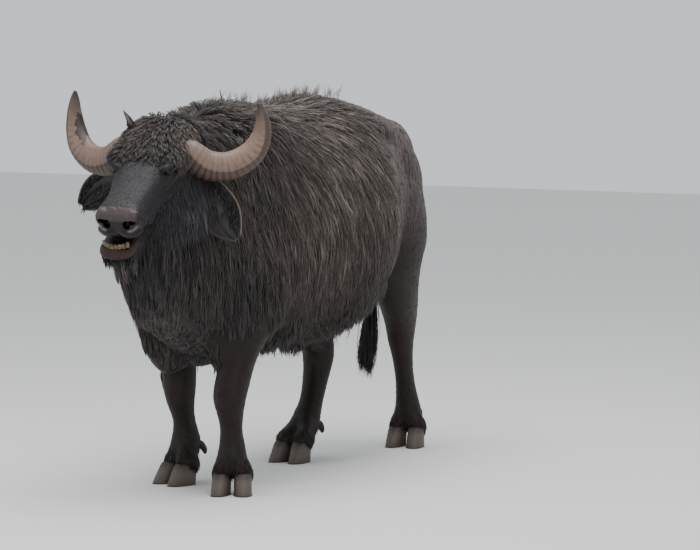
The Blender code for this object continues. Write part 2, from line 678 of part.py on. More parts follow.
# A point inside each node, by which the pieces are told apart after the cuts
NODE_POINTS = {
    "head": HEAD @ Vector((0.0, -0.20, -0.10)),
    "neck": Vector((0.0, -0.55, 1.00)),
    "torso": Vector((0.0, 0.15, 0.90)),
    "hindquarters": Vector((0.0, 0.82, 1.00)),
    "fore_leg_left": Vector((0.140, -0.40, 0.25)),
    "fore_leg_right": Vector((-0.153, -0.26, 0.25)),
    "hind_leg_left": Vector((0.125, 1.02, 0.35)),
    "hind_leg_right": Vector((-0.100, 0.74, 0.33)),
}


def part_nodes(body):
    """Parts the body with the thin plates and names each piece by the point that lies inside it."""
    boolean(body, [plate(*cut) for cut in CUTS.values()], "DIFFERENCE")
    bm = bmesh.new()
    bm.from_mesh(body.data)
    groups = islands(bm)
    bm.faces.ensure_lookup_table()
    surface = BVHTree.FromBMesh(bm)
    for name, point in NODE_POINTS.items():
        nearest = bm.faces[surface.find_nearest(point)[2]].verts[0]
        group = next(g for g in groups if nearest in g)
        piece = bm.copy()
        piece.verts.ensure_lookup_table()
        kept = {v.index for v in group}
        bmesh.ops.delete(piece, geom=[v for v in piece.verts if v.index not in kept], context="VERTS")
        finish_mesh(name, piece, COAT_COLOUR)
    bm.free()
    bpy.data.objects.remove(body)


def clear_scene():
    """Removes what the scene holds and makes the two collections."""
    for obj in list(bpy.data.objects):
        bpy.data.objects.remove(obj)
    made = []
    for name in ("water_buffalo", "helpers"):
        collection = bpy.data.collections.new(name)
        bpy.context.scene.collection.children.link(collection)
        made.append(collection)
    made[1].hide_render = True
    return made


PARTS, HELPERS = clear_scene()


def main():
    body = make_flesh()
    hard = []
    for name, foot in FEET.items():
        for label, side in (("outer", math.copysign(1, foot.x)), ("inner", -math.copysign(1, foot.x))):
            hard.append(make_claw(f"claw_{name}_{label}", foot, side))
            hard.append(make_dewclaw(f"dewclaw_{name}_{label}", foot, side))
    for label, side in SIDES.items():
        horn = make_horn(f"horn_{label}", side)
        ear = make_ear(f"ear_{label}", side)
        keep_largest(boolean(ear, [grown(horn)], "DIFFERENCE"))
        hard += [horn, ear, make_eye(f"eye_{label}", side)]
    dock, switch = make_tail()
    hard.append(dock)
    teeth, sockets = make_teeth()
    boolean(body, [grown(piece) for piece in hard] + sockets, "DIFFERENCE")
    part_nodes(body)


main()
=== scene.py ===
# %% [markdown]
# # A shaggy water buffalo bull, life size
#
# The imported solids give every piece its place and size, and here they are dressed. One fine skin takes the
# place of the flesh, and a coat of some seventy thousand tufts of hair grows on it. Metres, +Z up, the
# animal faces -Y and its left side is +X.

# %% Load the frame
import math
from collections import namedtuple

import bmesh
import bpy
import numpy as np
from mathutils import Matrix, Vector, kdtree, noise
from mathutils.bvhtree import BVHTree


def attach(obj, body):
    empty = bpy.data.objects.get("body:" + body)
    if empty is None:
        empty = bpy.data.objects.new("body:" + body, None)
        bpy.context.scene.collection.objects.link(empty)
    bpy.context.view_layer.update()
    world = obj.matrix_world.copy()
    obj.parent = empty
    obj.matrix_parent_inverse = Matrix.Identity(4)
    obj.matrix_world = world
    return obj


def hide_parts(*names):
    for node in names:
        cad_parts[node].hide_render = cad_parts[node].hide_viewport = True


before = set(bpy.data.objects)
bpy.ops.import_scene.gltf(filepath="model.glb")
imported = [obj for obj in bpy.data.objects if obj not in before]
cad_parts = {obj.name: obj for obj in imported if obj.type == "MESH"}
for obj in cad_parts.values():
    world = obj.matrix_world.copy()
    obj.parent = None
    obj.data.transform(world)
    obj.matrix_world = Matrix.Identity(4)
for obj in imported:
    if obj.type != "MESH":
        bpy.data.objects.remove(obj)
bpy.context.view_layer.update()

LEFT, RIGHT = 1, -1
SIDES = {"left": LEFT, "right": RIGHT}

# %% [markdown]
# ## Small helpers for materials
#
# A colour picked from a screen is an sRGB hex value, while a shader works in linear light, so one
# # function turns the one into the other. A material could be drawn in the node editor, but a script gives
# the
# # same one each run. So another function adds a node: each input is given a value or the output that feeds
# # it, and the output that the next node reads comes back. That keeps a material readable from top to bottom.


# %% Colours and nodes
def linear(code):
    """An sRGB hex colour in linear light, with full alpha."""
    values = [int(code[i:i + 2], 16) / 255 for i in (1, 3, 5)]
    return [v / 12.92 if v <= 0.04045 else ((v + 0.055) / 1.055) ** 2.4 for v in values] + [1.0]


def add(tree, kind, inputs=None, out=0, **settings):
    """Adds a node with its settings and links, and returns its output out."""
    node = tree.nodes.new("ShaderNode" + kind)
    for name, value in settings.items():
        setattr(node, name, value)
    for name, value in (inputs or {}).items():
        if isinstance(value, bpy.types.NodeSocket):
            tree.links.new(value, node.inputs[name])
        else:
            node.inputs[name].default_value = value
    return node.outputs[out]


def new_material(name, constants):
    """A Principled material with the numbers that are the same all over it: the material, tree and shader."""
    made = bpy.data.materials.new(name)
    made.use_nodes = True
    shader = made.node_tree.nodes["Principled BSDF"]
    for label, value in constants.items():
        shader.inputs[label].default_value = value
    return made, made.node_tree, shader


print("mid grey in linear light", round(linear("#808080")[0], 3))

# %% [markdown]
# ## Floor, light and camera
#
# The photograph was taken from about 14 m away with a long lens, a little above the animal's back and 27
# degrees to its left. The sky was white and even, so one very large soft light hangs overhead and weaker ones
# fill the sides. A sun lamp would be simpler, but its hard shadow would not match an overcast day.

# %% Floor
FLOOR_SIZE = 30.0


def put(name, data):
    """Makes an object of the data and puts it in the scene."""
    obj = bpy.data.objects.new(name, data)
    bpy.context.scene.collection.objects.link(obj)
    return obj


bm = bmesh.new()
bmesh.ops.create_grid(bm, x_segments=1, y_segments=1, size=FLOOR_SIZE / 2)
floor = put("floor", bpy.data.meshes.new("floor"))
bm.to_mesh(floor.data)
bm.free()
# Matt wall paint, rolled on: it has no gloss, so the eye sees an even pale field and soft shadows
paint, tree, shader = new_material("matt_studio_floor", {"Base Color": linear("#DEDDDA"), "Roughness": 0.9})
floor.data.materials.append(paint)
print("floor", FLOOR_SIZE, "m square")

# %% Light
world = bpy.data.worlds.new("white_sky")
bpy.context.scene.world = world
world.use_nodes = True
sky = world.node_tree.nodes["Background"]
sky.inputs["Color"].default_value = linear("#EDF1F6")
sky.inputs["Strength"].default_value = 0.95
# Each lamp: its place, what it is turned to, its size in metres and its power in watts
LAMPS = {
    "overhead": ((0.5, -0.8, 5.0), (0, 0, 1.0), 4.0, 250),
    "front_left": ((5.0, -5.5, 3.2), (0, -0.2, 0.8), 3.0, 100),
    "front_right": ((-4.5, -4.0, 2.6), (0, 0, 0.9), 3.0, 45),
}
for name, (place, aim, size, power) in LAMPS.items():
    soft_light = bpy.data.lights.new(name, "AREA")
    soft_light.size = size
    soft_light.energy = power
    lamp = put(name, soft_light)
    lamp.location = place
    lamp.rotation_euler = (Vector(aim) - Vector(place)).to_track_quat("-Z", "Y").to_euler()
print("soft lights", len(LAMPS))

# %% Camera
lens = bpy.data.cameras.new("long_lens")
lens.lens = 200
lens.sensor_width = 36
lens.clip_end = 100
camera = put("camera", lens)
camera.location = (6.624, -12.250, 1.95)
camera.rotation_euler = (math.radians(90 - 5.004), 0, math.radians(27))
bpy.context.scene.camera = camera
print("camera", round((camera.location - Vector((0, 0, 1))).length, 2), "m away")

# %% [markdown]
# ## Rings and lofts
#
# A body is a row of cross-sections. Each is given by its centre and how far it reaches to the sides, up and
# down, and a smooth curve through every measure gives the sections between. The rings are bridged to a closed
# tube. The form could be sculpted by hand, but a row of measures can be checked and changed one by one. The
# trunk's measures are over the hide, with the coat's depth kept apart, so the hide lies inside the packed
# solids, which are modelled out to the tips of the hair.

# %% Rings
Ring = namedtuple("Ring", "x y z half up down")
# A trunk ring is widest at this share of its height, and the skin fills this share of the coat's depth
WIDEST = 0.48
SKIN_SHARE = 0.34


def trunk(y, top, bottom, half, x=0.0, coat=(0.0, 0.0, 0.0)):
    """A ring of the trunk, neck or head from its top and bottom heights."""
    above, beside, below = (SKIN_SHARE * depth for depth in coat)
    z = bottom + WIDEST * (top - bottom)
    return Ring(x, y, z, half + beside, top - z + above, z - bottom + below)


def catmull_rom(a, b, c, d, t):
    """The value at t between b and c on a smooth curve through a, b, c and d."""
    return 0.5 * (2 * b + (c - a) * t + (2 * a - 5 * b + 4 * c - d) * t**2 + (3 * b - a - 3 * c + d) * t**3)


def smooth_rings(rings, per_span):
    """The rings with others between them."""
    rows, last = [], len(rings) - 1
    for i in range(last):
        four = (rings[max(i - 1, 0)], rings[i], rings[i + 1], rings[min(i + 2, last)])
        for k in range(per_span):
            rows.append(Ring(*(catmull_rom(*values, k / per_span) for values in zip(*four))))
    return rows + [rings[last]]


def squircle(angle, power):
    """A point of a unit ring whose corners fill out as power rises above 2."""
    c, s = math.cos(angle), math.sin(angle)
    return math.copysign(abs(c) ** (2 / power), c), math.copysign(abs(s) ** (2 / power), s)


# %% Lofts
def add_loft(bm, rings, segments=24, power=2.2, per_span=3, side=Vector((1, 0, 0)), shape=None, level=False):
    """Adds a closed tube through the rings. shape may move each point of a ring, and level keeps the rings
    flat. Two layers of numbers, when the mesh has them, hold the share along and the turn round the tube."""
    rows = smooth_rings(rings, per_span)
    centres = [Vector(row[:3]) for row in rows]
    share_layer = bm.verts.layers.float.get("share")
    turn_layer = bm.verts.layers.float.get("turn")
    last, previous = len(rows) - 1, None
    for i, row in enumerate(rows):
        along = (centres[min(i + 1, last)] - centres[max(i - 1, 0)]).normalized()
        if level:
            along = Vector((0, 0, -1))
        across = (side - along * side.dot(along)).normalized()
        up = across.cross(along)
        if i == 0:
            flip = math.copysign(1, up.dot(Vector((0, 0.3, 1))))
        up *= flip
        made = bmesh.ops.create_circle(bm, segments=segments, radius=1.0, cap_ends=i in (0, last))["verts"]
        for k, vert in enumerate(made):
            x, z = squircle(2 * math.pi * k / segments, power)
            if shape:
                x, z = shape(i / last, x, z)
            vert.co = centres[i] + across * (x * row.half) + up * (z * (row.up if z > 0 else row.down))
            if share_layer:
                vert[share_layer] = i / last
                vert[turn_layer] = z
        edges = list({e for v in made for e in v.link_edges})
        if previous:
            bmesh.ops.bridge_loops(bm, edges=previous + edges)
        previous = edges


def on_side(point, side):
    """A point given for the left side, or its mirror image."""
    return Vector((side * point[0], point[1], point[2]))


def add_mass(bm, centre, half, side=LEFT, place=Matrix()):
    """Adds an ellipsoid on the given side; place carries it to the world."""
    where = place @ Matrix.Translation(on_side(centre, side)) @ Matrix.Diagonal((*half, 1.0))
    bmesh.ops.create_uvsphere(bm, u_segments=24, v_segments=16, radius=1.0, matrix=where)


def add_part(bm, part):
    """Adds a small mesh that was made on its own."""
    mesh = bpy.data.meshes.new("part")
    part.to_mesh(mesh)
    part.free()
    bm.from_mesh(mesh)
    bpy.data.meshes.remove(mesh)


def finish_mesh(name, bm):
    """Makes a smooth object of the mesh, its faces pointing outwards."""
    bmesh.ops.recalc_face_normals(bm, faces=bm.faces)
    mesh = bpy.data.meshes.new(name)
    bm.to_mesh(mesh)
    bm.free()
    mesh.shade_smooth()
    return put(name, mesh)


def apply_modifiers(obj):
    """Replaces the object's mesh with what its modifiers make of it."""
    graph = bpy.context.evaluated_depsgraph_get()
    mesh = bpy.data.meshes.new_from_object(obj.evaluated_get(graph))
    obj.modifiers.clear()
    obj.data = mesh


# %% [markdown]
# ## Trunk, neck and legs
#
# The stations run from the brisket to the tail, and from the withers to the throat. The bull is deep in the
# chest and round in the belly, with a hip that stands out under thin hide. One tube could not bulge where a
# muscle does, so rounded masses give shoulder, brisket, rump and thigh, and each leg is a tube of its own
# whose sections follow forearm, knee, cannon and pastern.

# %% Trunk
TORSO = (
    trunk(-0.47, 1.10, 0.66, 0.100, coat=(0.04, 0.05, 0.05)),
    trunk(-0.42, 1.22, 0.56, 0.175, coat=(0.05, 0.05, 0.06)),
    trunk(-0.30, 1.330, 0.485, 0.240, coat=(0.05, 0.05, 0.06)),
    trunk(-0.15, 1.325, 0.500, 0.270, coat=(0.045, 0.05, 0.05)),
    trunk(0.05, 1.308, 0.530, 0.305, coat=(0.04, 0.05, 0.04)),
    trunk(0.28, 1.328, 0.510, 0.328, coat=(0.045, 0.05, 0.045)),
    trunk(0.48, 1.338, 0.555, 0.315, coat=(0.045, 0.045, 0.04)),
    trunk(0.62, 1.332, 0.625, 0.275, coat=(0.035, 0.015, 0.02)),
    trunk(0.80, 1.292, 0.700, 0.218, coat=(0.020, 0.004, 0.006)),
    trunk(0.93, 1.205, 0.760, 0.158, coat=(0.006, 0.004, 0.006)),
    trunk(1.00, 1.130, 0.830, 0.108, coat=(0.004, 0.004, 0.004)),
    trunk(1.035, 1.040, 0.900, 0.050),
)
NECK = (
    trunk(-0.18, 1.305, 0.600, 0.190, coat=(0.05, 0.04, 0.05)),
    trunk(-0.34, 1.342, 0.510, 0.195, coat=(0.05, 0.05, 0.07)),
    trunk(-0.47, 1.342, 0.545, 0.180, coat=(0.05, 0.05, 0.07)),
    trunk(-0.58, 1.330, 0.630, 0.150, x=0.002, coat=(0.045, 0.035, 0.07)),
    trunk(-0.68, 1.316, 0.730, 0.128, x=0.005, coat=(0.040, 0.020, 0.07)),
    trunk(-0.78, 1.282, 0.830, 0.112, x=0.010, coat=(0.03, 0.015, 0.07)),
    trunk(-0.85, 1.190, 0.930, 0.080, x=0.014, coat=(0.0, 0.010, 0.06)),
)
# Each mass is given for the left side by its centre and half sizes
BODY_MASSES = {
    "shoulder_blade": ((0.150, -0.250, 1.080), (0.100, 0.190, 0.240)),
    "shoulder_point": ((0.170, -0.350, 0.760), (0.090, 0.140, 0.190)),
    "breast": ((0.125, -0.400, 0.600), (0.105, 0.100, 0.190)),
    "hip": ((0.142, 0.600, 1.218), (0.088, 0.150, 0.072)),
    "rump": ((0.130, 0.780, 1.100), (0.100, 0.150, 0.160)),
    "thurl": ((0.148, 0.825, 1.000), (0.083, 0.168, 0.185)),
    "pin": ((0.074, 0.970, 1.050), (0.050, 0.055, 0.090)),
    "flank_fold": ((0.185, 0.520, 0.700), (0.050, 0.110, 0.110)),
}
BRISKET = ((-0.050, -0.335, 0.565), (0.135, 0.130, 0.130))
SHEATH = ((0.0, 0.280, 0.515), (0.040, 0.095, 0.050))
print("stations of the trunk", len(TORSO), "and the neck", len(NECK), "masses a side", len(BODY_MASSES))

# %% Legs
FORE_LEG_LEFT = (
    Ring(0.175, -0.290, 0.900, 0.080, 0.120, 0.120),
    Ring(0.185, -0.310, 0.720, 0.078, 0.120, 0.105),
    Ring(0.178, -0.365, 0.600, 0.070, 0.088, 0.082),
    Ring(0.157, -0.405, 0.500, 0.059, 0.066, 0.064),
    Ring(0.144, -0.432, 0.400, 0.056, 0.058, 0.060),
    Ring(0.136, -0.440, 0.345, 0.055, 0.053, 0.056),
    Ring(0.134, -0.434, 0.305, 0.047, 0.047, 0.049),
    Ring(0.133, -0.426, 0.250, 0.037, 0.040, 0.037),
    Ring(0.132, -0.422, 0.210, 0.036, 0.041, 0.038),
    Ring(0.131, -0.416, 0.160, 0.043, 0.050, 0.044),
    Ring(0.134, -0.424, 0.118, 0.052, 0.048, 0.048),
)
FORE_LEG_RIGHT = (
    Ring(-0.175, -0.250, 0.900, 0.080, 0.120, 0.120),
    Ring(-0.185, -0.225, 0.720, 0.078, 0.120, 0.105),
    Ring(-0.178, -0.245, 0.600, 0.070, 0.088, 0.082),
    Ring(-0.168, -0.265, 0.500, 0.060, 0.066, 0.064),
    Ring(-0.158, -0.276, 0.400, 0.056, 0.058, 0.060),
    Ring(-0.155, -0.279, 0.345, 0.055, 0.053, 0.056),
    Ring(-0.153, -0.276, 0.300, 0.047, 0.047, 0.049),
    Ring(-0.152, -0.262, 0.250, 0.037, 0.041, 0.038),
    Ring(-0.152, -0.250, 0.210, 0.037, 0.041, 0.038),
    Ring(-0.154, -0.240, 0.155, 0.049, 0.053, 0.045),
    Ring(-0.156, -0.247, 0.115, 0.052, 0.048, 0.048),
)
HIND_LEG_LEFT = (
    Ring(0.120, 0.800, 1.060, 0.100, 0.180, 0.200),
    Ring(0.150, 0.795, 0.900, 0.100, 0.210, 0.200),
    Ring(0.160, 0.780, 0.760, 0.094, 0.205, 0.160),
    Ring(0.158, 0.820, 0.640, 0.072, 0.143, 0.104),
    Ring(0.141, 0.880, 0.550, 0.060, 0.110, 0.078),
    Ring(0.128, 0.915, 0.480, 0.049, 0.101, 0.060),
    Ring(0.122, 0.937, 0.420, 0.043, 0.062, 0.055),
    Ring(0.119, 0.955, 0.365, 0.036, 0.044, 0.044),
    Ring(0.112, 0.983, 0.292, 0.032, 0.037, 0.035),
    Ring(0.107, 1.010, 0.219, 0.034, 0.040, 0.038),
    Ring(0.104, 1.032, 0.150, 0.045, 0.048, 0.044),
    Ring(0.104, 1.034, 0.112, 0.053, 0.048, 0.050),
)
HIND_LEG_RIGHT = (
    Ring(-0.120, 0.790, 1.060, 0.100, 0.180, 0.200),
    Ring(-0.150, 0.720, 0.900, 0.100, 0.200, 0.190),
    Ring(-0.165, 0.600, 0.760, 0.088, 0.165, 0.150),
    Ring(-0.150, 0.618, 0.620, 0.068, 0.122, 0.098),
    Ring(-0.128, 0.664, 0.510, 0.057, 0.106, 0.076),
    Ring(-0.109, 0.698, 0.430, 0.051, 0.110, 0.060),
    Ring(-0.108, 0.700, 0.370, 0.052, 0.074, 0.066),
    Ring(-0.106, 0.680, 0.310, 0.046, 0.053, 0.053),
    Ring(-0.100, 0.645, 0.245, 0.041, 0.046, 0.044),
    Ring(-0.093, 0.605, 0.190, 0.041, 0.045, 0.042),
    Ring(-0.088, 0.562, 0.140, 0.050, 0.051, 0.045),
    Ring(-0.085, 0.530, 0.108, 0.053, 0.048, 0.050),
)
Foot = namedtuple("Foot", "leg x y toe_out")
FEET = {
    "fore_left": Foot(FORE_LEG_LEFT, 0.137, -0.425, math.radians(22)),
    "fore_right": Foot(FORE_LEG_RIGHT, -0.160, -0.276, math.radians(-24)),
    "hind_left": Foot(HIND_LEG_LEFT, 0.112, 1.010, math.radians(8)),
    "hind_right": Foot(HIND_LEG_RIGHT, -0.074, 0.430, math.radians(-6)),
}
CLAW_HEIGHT = 0.078
CLAW_SPREAD = 0.037
CLAW_SPLAY = math.radians(7)
print("leg stations", {label: len(foot.leg) for label, foot in FEET.items()})


# %% Toes
def foot_frame(foot):
    """Carries a point from a foot's own frame, sole at the origin and toes at -Y, to the world."""
    return Matrix.Translation((foot.x, foot.y, 0.0)) @ Matrix.Rotation(foot.toe_out, 4, "Z")


def add_toes(bm, foot):
    """Adds the two short toes that carry the claws."""
    last, place = foot.leg[-1], foot_frame(foot)
    top = place.inverted() @ Vector((last.x, last.y, last.z + 0.03))
    for side in SIDES.values():
        rings = (
            Ring(top.x + side * 0.012, top.y, top.z, 0.030, 0.032, 0.034),
            Ring(top.x * 0.5 + side * 0.026, top.y * 0.6, 0.100, 0.031, 0.036, 0.038),
            Ring(side * CLAW_SPREAD, 0.012, 0.074, 0.032, 0.042, 0.044),
            Ring(side * CLAW_SPREAD, 0.004, 0.055, 0.028, 0.036, 0.040),
        )
        toe = bmesh.new()
        add_loft(toe, rings)
        toe.transform(place)
        add_part(bm, toe)


# %% Body and tail
TAIL_LINE = (
    Ring(0.000, 0.930, 1.190, 0.036, 0.030, 0.030),
    Ring(-0.002, 1.010, 1.175, 0.034, 0.030, 0.030),
    Ring(-0.008, 1.062, 1.110, 0.029, 0.026, 0.026),
    Ring(-0.018, 1.076, 0.980, 0.023, 0.021, 0.021),
    Ring(-0.030, 1.066, 0.820, 0.019, 0.018, 0.018),
    Ring(-0.042, 1.044, 0.680, 0.016, 0.015, 0.015),
    Ring(-0.050, 1.030, 0.560, 0.014, 0.014, 0.014),
    Ring(-0.054, 1.024, 0.480, 0.009, 0.009, 0.009),
)

bm = bmesh.new()
add_loft(bm, TORSO, segments=40, power=2.15)
add_loft(bm, NECK, segments=32, power=2.1)
for centre, half in BODY_MASSES.values():
    for side in SIDES.values():
        add_mass(bm, centre, half, side)
add_mass(bm, *SHEATH)
add_mass(bm, *BRISKET)
for foot in FEET.values():
    add_loft(bm, foot.leg, power=2.1)
    add_toes(bm, foot)
hide = finish_mesh("hide", bm)
bm = bmesh.new()
add_loft(bm, TAIL_LINE, segments=20)
tail = finish_mesh("tail", bm)
print("faces before fusing", len(hide.data.polygons), "and in the tail", len(tail.data.polygons))

# %% [markdown]
# ## Fusing the masses
#
# Overlapping tubes and balls become one skin with a voxel remesh, as clay would, and a few rounds of
# smoothing ease the joins. A boolean union would keep a hard crease at each join. The smoothing draws the
# surface in a little, so it is swelled back.


# %% Fuse
def fuse(obj, voxel, smoothing, swell):
    """Fuses the object's overlapping masses into one skin and eases the joins."""
    remesh = obj.modifiers.new("fuse", "REMESH")
    remesh.mode = "VOXEL"
    remesh.voxel_size = voxel
    ease = obj.modifiers.new("ease", "SMOOTH")
    ease.factor = 0.5
    ease.iterations = smoothing
    out = obj.modifiers.new("swell", "DISPLACE")
    out.mid_level = 0.0
    out.strength = swell
    apply_modifiers(obj)
    print(obj.name, "skin", len(obj.data.polygons), "faces")


fuse(hide, 0.0112, 6, 0.004)

# %% [markdown]
# ## Head
#
# A buffalo's head is a long wedge, flat across the face, with a broad bare muzzle. It is modelled level in a
# frame of its own, with the poll as origin, and then pitched, turned and tilted as the bull holds it, because
# a level head is far easier to measure. The jaw hangs a little open and slid to its right. Lids, nostril rims
# and lips are small masses, and the nostrils are cut in after the fusing.

# %% Head masses
POLL = Vector((0.011, -0.680, 1.310))
HEAD_PITCH = math.radians(31.5)
HEAD = (
    Matrix.Translation(POLL)
    @ Matrix.Rotation(math.radians(7), 4, "Z")
    @ Matrix.Rotation(HEAD_PITCH, 4, "X")
    @ Matrix.Rotation(math.radians(3.3), 4, "Y")
)
SKULL = (
    trunk(0.070, -0.070, -0.220, 0.080),
    trunk(0.030, -0.026, -0.245, 0.108, coat=(0.025, 0.01, 0.0)),
    trunk(-0.020, 0.004, -0.250, 0.121, coat=(0.030, 0.01, 0.0)),
    trunk(-0.080, 0.016, -0.240, 0.126, coat=(0.026, 0.004, 0.0)),
    trunk(-0.140, 0.020, -0.225, 0.122, coat=(0.012, 0.0, 0.0)),
    trunk(-0.200, 0.012, -0.200, 0.110),
    trunk(-0.270, -0.006, -0.160, 0.094),
    trunk(-0.340, -0.018, -0.142, 0.082),
    trunk(-0.410, -0.020, -0.132, 0.075),
    trunk(-0.450, -0.019, -0.131, 0.081),
    trunk(-0.478, -0.029, -0.128, 0.079),
    trunk(-0.498, -0.045, -0.120, 0.070),
    trunk(-0.508, -0.062, -0.106, 0.054),
)
JAW = (
    trunk(0.010, -0.120, -0.225, 0.066),
    trunk(-0.060, -0.120, -0.258, 0.086),
    trunk(-0.130, -0.120, -0.270, 0.088),
    trunk(-0.210, -0.115, -0.261, 0.076, x=-0.006),
    trunk(-0.290, -0.120, -0.247, 0.064, x=-0.011),
    trunk(-0.360, -0.138, -0.240, 0.058, x=-0.021),
    trunk(-0.410, -0.166, -0.238, 0.061, x=-0.028),
    trunk(-0.455, -0.176, -0.236, 0.063, x=-0.034),
    trunk(-0.485, -0.180, -0.230, 0.057, x=-0.037),
    trunk(-0.502, -0.187, -0.221, 0.043, x=-0.038),
    trunk(-0.508, -0.194, -0.212, 0.027, x=-0.038),
)
JAW_SLIDE = -0.038
HEAD_MASSES = {
    "brow": ((0.090, -0.185, -0.018), (0.034, 0.062, 0.026)),
    "orbit_floor": ((0.082, -0.235, -0.070), (0.026, 0.058, 0.024)),
    "cheek": ((0.064, -0.120, -0.170), (0.044, 0.100, 0.085)),
    "horn_boss": ((0.094, -0.080, -0.060), (0.034, 0.060, 0.056)),
    "nostril_wing": ((0.053, -0.480, -0.064), (0.029, 0.029, 0.038)),
    "upper_lip": ((0.036, -0.480, -0.104), (0.044, 0.038, 0.025)),
    "lip_corner": ((0.054, -0.365, -0.132), (0.016, 0.036, 0.024)),
}
print("stations of the skull", len(SKULL), "and the jaw", len(JAW), "masses a side", len(HEAD_MASSES))

# %% Nostrils, lids and mouth
# A nostril is a comma: a round opening, and a slit that runs from it outwards and up
NOSTRIL = (
    ((0.035, -0.512, -0.070), (0.0135, 0.026, 0.0165)),
    ((0.053, -0.504, -0.059), (0.0150, 0.026, 0.0075)),
)
# The lids lie along a slanting slit, and each is given from the eye's centre: outwards, along and up
EYE_CENTRE = Vector((0.0925, -0.229, -0.035))
EYE_RADIUS = 0.0208
EYE_TURN = math.radians(-33)
LIDS = (
    ((0.0030, 0.002, 0.0180), (0.0205, 0.036, 0.0138)),
    ((0.0030, 0.000, -0.0150), (0.0200, 0.034, 0.0110)),
)
GULLET = ((-0.030, -0.392, -0.152), (0.060, 0.072, 0.034))

bm = bmesh.new()
add_loft(bm, SKULL, segments=40, power=2.9)
add_loft(bm, JAW, segments=32, power=2.3)
for centre, half in HEAD_MASSES.values():
    for side in SIDES.values():
        add_mass(bm, centre, half, side)
for side in SIDES.values():
    socket = Matrix.Translation(on_side(EYE_CENTRE, side)) @ Matrix.Rotation(side * EYE_TURN, 4, "Z")
    for centre, half in LIDS:
        add_mass(bm, centre, half, side, socket)
add_mass(bm, *GULLET)
head = finish_mesh("head_shape", bm)
fuse(head, 0.0036, 4, 0.001)

# %% Creases and ridges of the face
# Creases are soft grooves along short lines; each is given by its two ends, its half width and its depth
CREASES = (
    ((0.066, -0.268, -0.012), (0.104, -0.205, 0.004), 0.0050, 0.0030),
    ((0.060, -0.285, -0.024), (0.098, -0.255, -0.016), 0.0045, 0.0022),
    ((0.082, -0.292, -0.066), (0.110, -0.236, -0.078), 0.0050, 0.0030),
    ((0.070, -0.312, -0.070), (0.100, -0.262, -0.094), 0.0045, 0.0018),
    ((0.066, -0.440, -0.030), (0.080, -0.462, -0.095), 0.0060, 0.0025),
    ((0.000, -0.447, -0.014), (0.056, -0.444, -0.018), 0.0045, 0.0018),
    ((0.072, -0.420, -0.118), (0.070, -0.360, -0.150), 0.0060, 0.0030),
)
# Ridges stand up in the same way: cheek muscle, tear line and nostril rim
RIDGES = (
    ((0.084, -0.330, -0.095), (0.102, -0.200, -0.120), 0.0120, 0.0040),
    ((0.060, -0.330, -0.040), (0.078, -0.270, -0.046), 0.0080, 0.0025),
    ((0.040, -0.500, -0.044), (0.074, -0.482, -0.050), 0.0060, 0.0025),
    ((0.066, -0.490, -0.066), (0.046, -0.500, -0.090), 0.0060, 0.0035),
)


def near_line(points, a, b, width):
    """How close each point is to the line from a to b: 1 on it, fading to 0 in a few widths."""
    a, b = np.array(a), np.array(b)
    along = np.clip(((points - a) @ (b - a)) / ((b - a) @ (b - a)), 0, 1)
    away = np.linalg.norm(points - (a + along[:, None] * (b - a)), axis=1)
    return np.exp(-((away / width) ** 2)) * (0.35 + 0.65 * np.sin(np.pi * np.clip(along, 0.08, 0.92)))


def read(mesh, what, width=3):
    """One vector of every vertex as an array."""
    values = np.empty(len(mesh.vertices) * width)
    mesh.vertices.foreach_get(what, values)
    return values.reshape(-1, width)


def fbm(points, scale, octaves=3, seed=0.0):
    """Soft noise at each point, from -1 to 1."""
    shift = Vector((seed, 0, 0))
    return np.array([noise.fractal(Vector(p) * scale + shift, 1.0, 2.0, octaves) for p in points])


# %% Sculpt the face
points, normals = read(head.data, "co"), read(head.data, "normal")
mirrored = points.copy()
mirrored[:, 0] = np.abs(mirrored[:, 0])
move = np.zeros(len(points))
for a, b, width, depth in CREASES:
    move -= depth * near_line(mirrored, a, b, width)
for a, b, width, height in RIDGES:
    move += height * near_line(mirrored, a, b, width)
# The skin is uneven by about 1 mm, and the muzzle has finer bumps of half a millimetre on top
muzzle = np.clip((-0.40 - points[:, 1]) / 0.06, 0, 1)
move += 0.0012 * fbm(points, 22) + 0.0006 * muzzle * fbm(points, 90, 2, 5.0)
points += normals * move[:, None]
head.data.vertices.foreach_set("co", points.ravel())
head.data.transform(HEAD)
head.data.update()
print("face moved by", round(float(move.min()), 4), "to", round(float(move.max()), 4), "m")


# %% Join head and body, and cut the nostrils
def boolean(obj, others, operation):
    """Joins or cuts obj with the other objects, then removes them."""
    for other in others:
        modifier = obj.modifiers.new("boolean", "BOOLEAN")
        modifier.operation = operation
        modifier.solver = "MANIFOLD"
        modifier.object = other
    apply_modifiers(obj)
    for other in others:
        bpy.data.objects.remove(other)


hollows = []
for side in SIDES.values():
    for centre, half in NOSTRIL:
        bm = bmesh.new()
        add_mass(bm, centre, half, side, HEAD)
        hollows.append(finish_mesh("nostril", bm))
boolean(hide, [head, tail], "UNION")
boolean(hide, hollows, "DIFFERENCE")
bm = bmesh.new()
bm.from_mesh(hide.data)
bmesh.ops.triangulate(bm, faces=bm.faces)
bm.to_mesh(hide.data)
SKIN = BVHTree.FromBMesh(bm)
bm.free()
hide.data.shade_smooth()
print("whole skin", len(hide.data.polygons), "triangles")

# %% [markdown]
# ## Horns
#
# A buffalo's horn is flattened, ringed with growth ridges about 15 mm apart and worn smooth towards the tip.
# A bump in the material could fake the rings, but they show in the outline, so the horn is a loft along its
# own curve with many fine rings, and the ridges are real shape. A keel parts the worn upper face from the
# underside, where the ridges are strongest, and a row of dents follows the outer bend.

# %% Horn curve
HORN_BASE = Vector((0.115, -0.090, -0.066))
